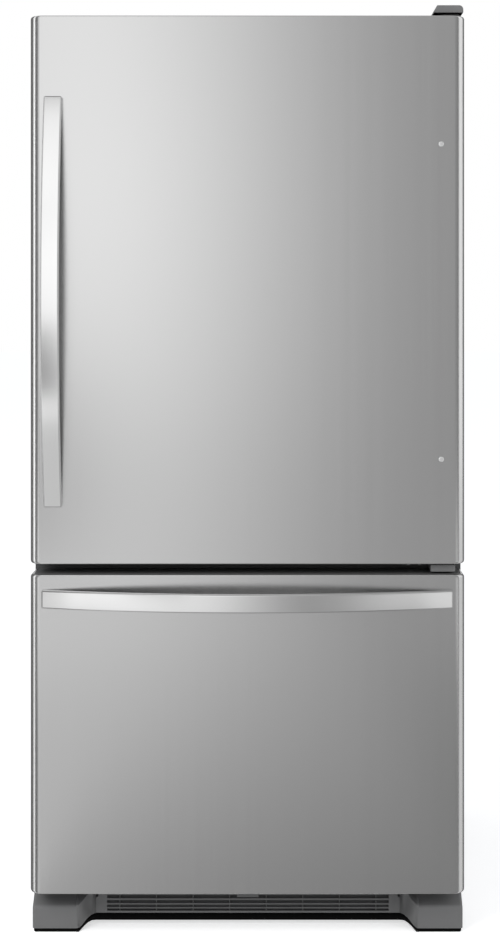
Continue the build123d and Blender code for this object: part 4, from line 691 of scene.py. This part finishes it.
# %% What some copies get first
TOE_INNER = 0.3228
TOE_JOINT = 0.0003
CAP_SHRINK = (0.9925, 0.955, 1)
PLUG_SPREAD = 1.45


def cut_toes(shape):
    """Leaves the middle of the kick panel, because the toes become pieces of their own."""
    for side in (-1, 1):
        bmesh.ops.bisect_plane(shape, geom=everything(shape), clear_outer=True, dist=1e-7,
                               plane_co=(side * (TOE_INNER - TOE_JOINT), 0, 0), plane_no=(side, 0, 0))
    bmesh.ops.holes_fill(shape, edges=[e for e in shape.edges if e.is_boundary], sides=0)


def draw_in(shape):
    """Keeps an end cap just inside the steel that wraps it."""
    back = max(v.co.y for v in shape.verts)
    bmesh.ops.scale(shape, verts=shape.verts, vec=CAP_SHRINK, space=Matrix.Translation((0, -back, 0)))


def spread_heads(shape):
    """Gives both plugs the wide flat heads that cover their holes."""
    middle = sum((v.co for v in shape.verts), Vector()) / len(shape.verts)
    for high in (False, True):
        plug = [v for v in shape.verts if (v.co.z > middle.z) == high]
        centre = sum((v.co for v in plug), Vector()) / len(plug)
        bmesh.ops.scale(shape, verts=plug, vec=(PLUG_SPREAD, 1, PLUG_SPREAD),
                        space=Matrix.Translation(-centre))


reshape = {"base_grille": cut_toes, "door_caps": draw_in, "freezer_caps": draw_in,
           "door_plugs": spread_heads}
print("copies that change first:", list(reshape))

# %% [markdown]
# The width goes by how a piece is made: pressed steel and glass are hardly rounded, and thick
# mouldings the most. Round pieces, such as coils, need none.


# %% Softened copies
def softened(node, width):
    """A merged copy of a CAD node, with its edges rounded by width where that isn't zero."""
    shape = bmesh.new()
    shape.from_mesh(frame["nodes"][node].data)
    bmesh.ops.remove_doubles(shape, verts=shape.verts, dist=2e-6)
    bmesh.ops.dissolve_limit(shape, angle_limit=radians(0.8), verts=shape.verts, edges=shape.edges)
    if node in reshape:
        reshape[node](shape)
    thing = piece(shape, "soft_edged_" + node, slot_of_node[node], body_of_node[node], node)
    if width:
        rounding = thing.modifiers.new("rounded edges", "BEVEL")
        rounding.width, rounding.segments = width, 2
        rounding.limit_method, rounding.angle_limit = "ANGLE", radians(50)
        rounding.use_clamp_overlap = False
        even_shading(thing)


SOFTENED = {
    0.0002: ("machine_cover",),
    0.0004: ("door_caps", "freezer_caps", "top_hinge", "center_hinge", "center_mullion",
             "slide_tracks", "slide_middles", "drawer_frame", "shelf_glass"),
    0.0008: ("base_grille", "crisper_left", "crisper_right", "humidity_slider_left",
             "humidity_slider_right", "control_housing", "air_duct", "evaporator_cover",
             "door_bins", "dairy_box", "dairy_lid", "freezer_knob", "fridge_knob", "light_switch",
             "shelf_frames"),
    0.0012: ("light_lens", "freezer_basket", "freezer_bin", "toe_pads", "top_hinge_cover"),
    0.0: ("compressor", "rear_rollers", "condenser_fan", "evaporator_fan", "condenser_coil",
          "evaporator_coil", "door_plugs", "leveling_leg_left", "leveling_leg_right", "hinge_screws",
          "condenser_fan_shroud", "drain_pan", "cord_gland"),
    0.0015: ("door_inner", "freezer_inner"),
}
for width, nodes in SOFTENED.items():
    for node in nodes:
        softened(node, width)
print("softened copies:", sum(len(nodes) for nodes in SOFTENED.values()))

# %% [markdown]
# ## The two liners
# A liner is one sheet of white plastic drawn into a mould, so its inside corners are round. The
# side view of the room is drawn as one face and extruded across. The mouth is opened, the inside
# edges are bevelled, and the mouth's edge is pulled outwards as the flange under the steel.

# %% The liners
TUB_CORNER, MOUTH_ROUND = 0.014, 0.0015
LINER_SHEET = 0.002
ROOM_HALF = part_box("evaporator_cover")[1].x
MOUTH_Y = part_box("fridge_liner")[0].y


def tub(node, outline):
    """A room with rounded inside corners. outline is its side view from the mouth's lower edge."""
    low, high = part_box(node)
    shape = bmesh.new()
    side = shape.faces.new([shape.verts.new((-ROOM_HALF, y, z)) for y, z in outline])
    made = bmesh.ops.extrude_face_region(shape, geom=[side])["geom"]
    bmesh.ops.translate(shape, verts=new_verts(made), vec=(2 * ROOM_HALF, 0, 0))
    mouth = [f for f in shape.faces if all(abs(v.co.y - MOUTH_Y) < 1e-6 for v in f.verts)]
    bmesh.ops.delete(shape, geom=mouth, context="FACES_ONLY")
    inside = [e for e in shape.edges if not e.is_boundary]
    bevelled(shape, inside, TUB_CORNER, 5)
    rim = [e for e in shape.edges if e.is_boundary]
    made = bmesh.ops.extrude_edge_only(shape, edges=rim)["geom"]
    floor_z, ceiling_z = outline[0][1], outline[-1][1]
    for vert in new_verts(made):
        middle_x = max(TUB_CORNER - ROOM_HALF, min(ROOM_HALF - TUB_CORNER, vert.co.x))
        middle_z = max(floor_z + TUB_CORNER, min(ceiling_z - TUB_CORNER, vert.co.z))
        across, up = vert.co.x - middle_x, vert.co.z - middle_z
        reach = max(abs(across), abs(up))
        edge_x = high.x if across > 0 else low.x
        edge_z = high.z if up > 0 else low.z
        if abs(across) > 1e-6:
            vert.co.x = middle_x + abs(across) / reach * (edge_x - middle_x)
        if abs(up) > 1e-6:
            vert.co.z = middle_z + abs(up) / reach * (edge_z - middle_z)
    bevelled(shape, rim, MOUTH_ROUND, 3)
    bmesh.ops.recalc_face_normals(shape, faces=shape.faces)
    back = max(shape.faces, key=lambda f: f.calc_center_median().y)
    if back.normal.y > 0:
        bmesh.ops.reverse_faces(shape, faces=shape.faces)
    even_shading(give_wall(piece(shape, "drawn_" + node, "white_liner", "cabinet", node), LINER_SHEET))
    print("drew", node, "with", len(outline), "corners in its side view")


FRIDGE_FLOOR, FRIDGE_CEILING, ROOM_BACK = 0.742, 1.690, 0.3705
FREEZER_FLOOR, FREEZER_CEILING = 0.118, 0.660
STEP_Y, STEP_TOP = 0.1365, 0.374
tub("fridge_liner", [(MOUTH_Y, FRIDGE_FLOOR), (ROOM_BACK, FRIDGE_FLOOR),
                     (ROOM_BACK, FRIDGE_CEILING), (MOUTH_Y, FRIDGE_CEILING)])
tub("freezer_liner", [(MOUTH_Y, FREEZER_FLOOR), (STEP_Y, FREEZER_FLOOR), (STEP_Y, STEP_TOP),
                      (ROOM_BACK, STEP_TOP), (ROOM_BACK, FREEZER_CEILING), (MOUTH_Y, FREEZER_CEILING)])

# %% [markdown]
# Shelves, crispers and the upper basket rest on ribs that are drawn into the walls. Pulling them out
# of the liner's own sheet would be true to life, but they are straight bars, so rounded blocks that
# dip into the wall look the same and stay simple. Many small parts below are such blocks too.


# %% Ribs that carry the shelves, the crispers and the basket
def blocks(name, slot, boxes, edge, segments=3):
    """One piece of the cabinet from rounded blocks, each with its lowest and highest corner."""
    shape = bmesh.new()
    for low, high in boxes:
        low, high = Vector(low), Vector(high)
        matrix = Matrix.Translation((low + high) / 2) @ Matrix.Diagonal((*(high - low), 1))
        block = bmesh.ops.create_cube(shape, size=1, matrix=matrix)["verts"]
        bevelled(shape, list({e for v in block for e in v.link_edges}), edge, segments)
    print(name, "has", len(boxes), "blocks")
    return even_shading(piece(shape, name, slot, "cabinet"))


RIB, RIB_HEIGHT = 0.012, 0.010
SINK = 0.001  # how far blocks dip into the sheet that carries them
BASKET_RAIL_FRONT, BASKET_RAIL_BACK = MOUTH_Y + 0.03, 0.290
SHELF_LEVELS = (0.948, 1.197, 1.447)
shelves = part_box("shelf_frames")
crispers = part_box("crisper_left")
GUIDE_TOP = FRIDGE_FLOOR + 0.024
GUIDE_HALF, GUIDE_PAST = 0.0025, 0.0035
BASKET_RIB_TOP = FREEZER_CEILING - 0.105
ribs, guides, rails = [], [], []
for side in (-1, 1):
    wall, face = side * (ROOM_HALF + SINK), side * (ROOM_HALF - RIB)
    near, far = min(wall, face), max(wall, face)
    ribs += [((near, shelves[0].y, z - RIB_HEIGHT), (far, shelves[1].y, z)) for z in SHELF_LEVELS]
    rails.append(((near, BASKET_RAIL_FRONT, BASKET_RIB_TOP - RIB_HEIGHT),
                  (far, BASKET_RAIL_BACK, BASKET_RIB_TOP)))
    inner = side * (crispers[1].x - crispers[0].x + GUIDE_PAST)
    near, far = min(wall, inner), max(wall, inner)
    guides.append(((near, crispers[0].y, FRIDGE_FLOOR - SINK), (far, crispers[1].y, GUIDE_TOP)))
guides.append(((-GUIDE_HALF, crispers[0].y, FRIDGE_FLOOR - SINK),
               (GUIDE_HALF, crispers[1].y, GUIDE_TOP)))
blocks("shelf_ribs", "white_liner", ribs, 0.003)
blocks("crisper_guides", "white_liner", guides, 0.002)
blocks("basket_rails", "white_liner", rails, 0.003)

# %% [markdown]
# ## What shows between and below the fronts
# Between the fronts the cabinet's grey steel edge lies in deep shade. A thin black block at each
# end of the centre rail covers it as painted shade, so the gap reads as one dark line.

# %% Painted shade: black blocks at the ends of the centre rail
door_seal, freezer_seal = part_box("door_gasket"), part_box("freezer_gasket")
SHADE_LOW, SHADE_HIGH = freezer_seal[1].z + 0.001, door_seal[0].z - 0.001
RAIL_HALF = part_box("center_mullion")[1].x
STEEL_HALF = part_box("cabinet_wrapper")[1].x
shade_blocks = []
for side in (-1, 1):
    near, far = sorted((side * (RAIL_HALF - 0.001), side * (STEEL_HALF - 0.0002)))
    shade_blocks.append(((near, MOUTH_Y - 0.0004, SHADE_LOW), (far, MOUTH_Y + 0.001, SHADE_HIGH)))
# painted shade: black blocks over the grey steel edge in the gap
blocks("rail_end_shade_blocks", "black_steel", shade_blocks, 0.0002, segments=1)

# %% [markdown]
# The kick panel lies deeper than its toes. A curved grey wall joins them, and along its lower edge
# a near-black lip swings up from the floor to the panel. The lip is the base frame's black rail,
# drawn blacker than real plastic as painted shade under the panel, and where it reaches down to the
# floor beside the toes it is a painted contact shadow. Both follow one drawn curve, so they are thin
# walls between pairs of points, with their thickness from a modifier.

# %% The curved corners between the toes and the kick panel
# Each point: x and y, from the left toe to the middle, then the lower edges of grey and of black.
LIP_POINTS = [(-0.3290, -0.3350, 0.0076, 0.0), (-0.3245, -0.3350, 0.0076, 0.0),
              (-0.3205, -0.3300, 0.0098, 0.0036), (-0.3160, -0.3230, 0.0140, 0.0070),
              (-0.3105, -0.3132, 0.0185, 0.0093), (-0.3035, -0.3037, 0.0215, 0.0104),
              (-0.2950, -0.2994, 0.0235, 0.0098)]
LIP_THICK = 0.003
WALL_TOP, WALL_RISE = 0.0510, 0.56


def curved_wall(name, slot, columns, corner=None):
    """A thin wall through columns, each given as x, y and its two heights, and a top to a corner."""
    shape = bmesh.new()
    pairs = [[shape.verts.new((x, y, z)) for z in heights] for x, y, *heights in columns]
    for (a, b), (c, d) in zip(pairs, pairs[1:]):
        shape.faces.new((a, c, d, b))
    if corner:
        shape.faces.new([high for low, high in reversed(pairs)] + [shape.verts.new(corner)])
    bmesh.ops.recalc_face_normals(shape, faces=shape.faces)
    give_wall(piece(shape, name, slot, "cabinet", smooth=60), LIP_THICK, offset=0.0)
    print(name, "runs through", len(columns), "columns")


lip = [(x, y, black, grey) for x, y, grey, black in LIP_POINTS]
lip += [(-x, y, black, grey) for x, y, black, grey in reversed(lip)]
# painted shade and shadow: the lip is blacker than the real rail, and its ends down to the floor are a
# contact shadow
curved_wall("chassis_lip_and_painted_shadow", "black_plastic", lip)
toe_x, toe_y = LIP_POINTS[0][:2]
panel_y = LIP_POINTS[-1][1]
for side, name in ((-1, "toe_wall_left"), (1, "toe_wall_right")):
    columns = [(-side * x, y, grey, WALL_TOP + WALL_RISE * (y - toe_y)) for x, y, grey, black in LIP_POINTS]
    curved_wall(name, "grey_plastic", columns, (-side * toe_x, panel_y, columns[-1][3]))

# %% [markdown]
# A toe is a hollow moulding with an upright front, a sloping shoulder and well rounded edges. Its
# side view is drawn as one face and extruded across, and only the edges that show are bevelled.

# %% Rounded toes at both ends of the kick panel
TOE_ROUND = 0.006
SHOWS_BEFORE, SHOWS_ABOVE, SHOWS_BELOW = -0.3, 0.04, 0.0705  # the edges that show
grille_low, grille_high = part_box("base_grille")
TOE_OUTER = grille_high.x + 0.002
TOE_SIDE = [(-0.298, grille_low.z), (grille_low.y, grille_low.z), (grille_low.y, 0.0488),
            (-0.3005, 0.0706), (-0.3005, grille_high.z), (-0.298, grille_high.z)]
for side, name in ((-1, "toe_left"), (1, "toe_right")):
    toe = bmesh.new()
    outer = toe.faces.new([toe.verts.new((side * TOE_OUTER, y, z)) for y, z in TOE_SIDE])
    made = bmesh.ops.extrude_face_region(toe, geom=[outer])["geom"]
    bmesh.ops.translate(toe, verts=new_verts(made), vec=(side * (TOE_INNER - TOE_OUTER), 0, 0))
    bmesh.ops.recalc_face_normals(toe, faces=toe.faces)
    front = [e for e in toe.edges if all(v.co.y < SHOWS_BEFORE for v in e.verts)
             and max(v.co.z for v in e.verts) > SHOWS_ABOVE
             and min(v.co.z for v in e.verts) < SHOWS_BELOW]
    bevelled(toe, front, TOE_ROUND, 5)
    even_shading(piece(toe, name, "grey_plastic", "cabinet"))
    print(name, "has", len(front), "rounded edges")

# %% [markdown]
# ## Small parts that the CAD leaves plain
# A fridge's seal is a soft hollow strip: a flat magnet pocket at its face, and folds at its sides
# that let it give. Its section is a short list of insets and heights. Each becomes a ring round
# the front, and neighbouring rings are bridged, so the corners come out mitred as real ones are.

# %% Gaskets with bellows
BELLOWS = [(0.0045, 0.0), (0.0045, 0.0012), (0.0010, 0.0030), (0.0042, 0.0048), (0.0002, 0.0070),
           (0.0002, 0.0100), (0.0018, 0.0116), (0.0202, 0.0116), (0.0218, 0.0100),
           (0.0218, 0.0070), (0.0178, 0.0048), (0.0210, 0.0030), (0.0175, 0.0012), (0.0175, 0.0)]


def gasket(node, name):
    """A folded seal: one profile of inset and height, carried round a rectangle."""
    low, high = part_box(node)
    shape = bmesh.new()
    rings = []
    for inset, rise in BELLOWS:
        corners = [(low.x + inset, low.z + inset), (high.x - inset, low.z + inset),
                   (high.x - inset, high.z - inset), (low.x + inset, high.z - inset)]
        verts = [shape.verts.new((x, low.y + rise, z)) for x, z in corners]
        rings.append([shape.edges.new((a, b)) for a, b in zip(verts, verts[1:] + verts[:1])])
    for near, far in zip(rings, rings[1:] + rings[:1]):
        bmesh.ops.bridge_loops(shape, edges=near + far)
    close(shape)
    piece(shape, name, "seal", body_of_node[node], node, smooth=25)
    print(name, "goes round", round(high.x - low.x, 3), "by", round(high.z - low.z, 3), "m")


gasket("door_gasket", "door_bellows")
gasket("freezer_gasket", "freezer_bellows")

# %% [markdown]
# Beside each temperature knob are printed ticks and the coldest and warmest numbers. Print is too
# thin to model, but here a tenth of a millimetre of relief keeps it sharp in every export. The
# ticks are blocks, and the digits are text turned into a mesh.

# %% Marks beside the temperature knobs
DIAL_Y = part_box("control_housing")[0].y
TICK_AT, TICK_LONG, TICK_WIDE = 0.0190, 0.0030, 0.0008
TICK_RISES = (-0.011, -0.0055, 0.0, 0.0055, 0.011)
DIGIT_AT, DIGIT_HEIGHT = 0.0285, 0.010
INK = 0.00015
ticks, digits = [], []
for node in ("freezer_knob", "fridge_knob"):
    middle = sum(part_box(node), Vector()) / 2
    for side, text in ((-1, "1"), (1, "7")):
        digits.append((text, middle.x + side * DIGIT_AT, middle.z))
        for rise in TICK_RISES:
            at = middle.x + side * sqrt(TICK_AT**2 - rise**2)
            near, far = sorted((at, at + side * TICK_LONG))
            z = middle.z + rise
            ticks.append(((near, DIAL_Y - INK, z - TICK_WIDE / 2), (far, DIAL_Y + INK, z + TICK_WIDE / 2)))
blocks("dial_ticks", "grey_plastic", ticks, INK / 2, segments=1)

print_shape = bmesh.new()
for text, x, z in digits:
    letters = bpy.data.curves.new("digit", "FONT")
    letters.body, letters.size, letters.extrude = text, DIGIT_HEIGHT, INK
    letters.align_x, letters.align_y, letters.resolution_u = "CENTER", "CENTER", 3
    holder = bpy.data.objects.new("digit", letters)
    flat = bpy.data.meshes.new_from_object(holder)
    flat.transform(Matrix.Translation((x, DIAL_Y, z)) @ Matrix.Rotation(pi / 2, 4, "X"))
    print_shape.from_mesh(flat)
    bpy.data.meshes.remove(flat)
    bpy.data.objects.remove(holder)
    bpy.data.curves.remove(letters)
close(print_shape)
piece(print_shape, "dial_digits", "grey_plastic", "cabinet")
print("digits:", [text for text, x, z in digits])

# %% [markdown]
# The lamp's cover spreads the light with fine ribs across its face. They are rounded blocks again,
# half sunk into the cover.

# %% Ribs under the lamp's cover
RIB_PITCH, RIB_HALF, RIB_SUNK, RIB_PROUD = 0.0085, 0.0015, 0.0005, 0.0007
LENS_EDGE, FIRST_RIB = 0.010, 0.011
lens_low, lens_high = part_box("light_lens")
ribs, y = [], lens_low.y + FIRST_RIB
while y < lens_high.y - LENS_EDGE:
    ribs.append(((lens_low.x + LENS_EDGE, y - RIB_HALF, lens_low.z - RIB_PROUD),
                 (lens_high.x - LENS_EDGE, y + RIB_HALF, lens_low.z + RIB_SUNK)))
    y += RIB_PITCH
blocks("lens_ribs", "frosted_plastic", ribs, 0.0005, segments=1)

# %% [markdown]
# The back is one thin steel sheet. Upright beads are pressed into it, because a flat sheet would
# drum. The sheet is drawn a little thinner than in CAD, so that beads and screw heads stay within
# the size of the solids.

# %% The back sheet and its beads
BEAD_HALF, BEADS, BEAD_END = 0.005, 6, 0.07
BEAD_SINK = 0.0002
back_low, back_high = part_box("cabinet_back")
back_slot = slot_of_node["cabinet_back"]
sheet_y = back_low.y + BEAD_SINK
sheet = blocks("back_sheet", back_slot, [(back_low, (back_high.x, sheet_y, back_high.z))], 0.00005,
               segments=1)
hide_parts("cabinet_back")
beads = []
for number in range(BEADS):
    x = back_low.x + (back_high.x - back_low.x) * (number + 1) / (BEADS + 1)
    beads.append(((x - BEAD_HALF, sheet_y - BEAD_SINK, back_low.z + BEAD_END),
                  (x + BEAD_HALF, back_high.y - BEAD_SINK, back_high.z - BEAD_END)))
blocks("back_beads", back_slot, beads, 0.0005, segments=2)

# %% [markdown]
# Screws hold the sheet all round, and the cover of the machine room. Nobody sees their threads, so
# each is only a head: a low cone whose top face is inset and pushed in.

# %% Screws in the back
SIDE_SCREWS, SCREW_PITCH = 7, 0.227
CROSS_SCREWS = (-0.27, -0.09, 0.09, 0.27)
SCREW_EDGE, TOP_EDGE, COVER_EDGE, LOWEST_SCREW = 0.012, 0.014, 0.010, 0.03
HEAD_WIDE, HEAD_NARROW, HEAD_TALL = 0.0050, 0.0034, 0.0010
RECESS, RECESS_DEEP = 0.0016, 0.0006
places = [(side * (back_high.x - SCREW_EDGE), back_low.z + LOWEST_SCREW + number * SCREW_PITCH)
          for side in (-1, 1) for number in range(SIDE_SCREWS)]
places += [(x, back_high.z - TOP_EDGE) for x in CROSS_SCREWS]
places += [(x, back_low.z + SCREW_EDGE) for x in CROSS_SCREWS]
cover_low, cover_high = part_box("machine_cover")
places += [(x, z) for x in (cover_low.x + SCREW_EDGE, 0.0, cover_high.x - SCREW_EDGE)
           for z in (cover_low.z + COVER_EDGE, cover_high.z - COVER_EDGE)]
heads = bmesh.new()
for x, z in places:
    matrix = Matrix.Translation((x, back_high.y - HEAD_TALL / 2, z)) @ Matrix.Rotation(-pi / 2, 4, "X")
    made = bmesh.ops.create_cone(heads, cap_ends=True, segments=16, radius1=HEAD_WIDE,
                                 radius2=HEAD_NARROW, depth=HEAD_TALL, matrix=matrix)["verts"]
    top = max({f for v in made for f in v.link_faces}, key=lambda f: f.calc_center_median().y)
    bmesh.ops.inset_region(heads, faces=[top], thickness=RECESS, depth=-RECESS_DEEP)
piece(heads, "back_screws", "zinc_steel", "cabinet")
print("screws in the back:", len(places))
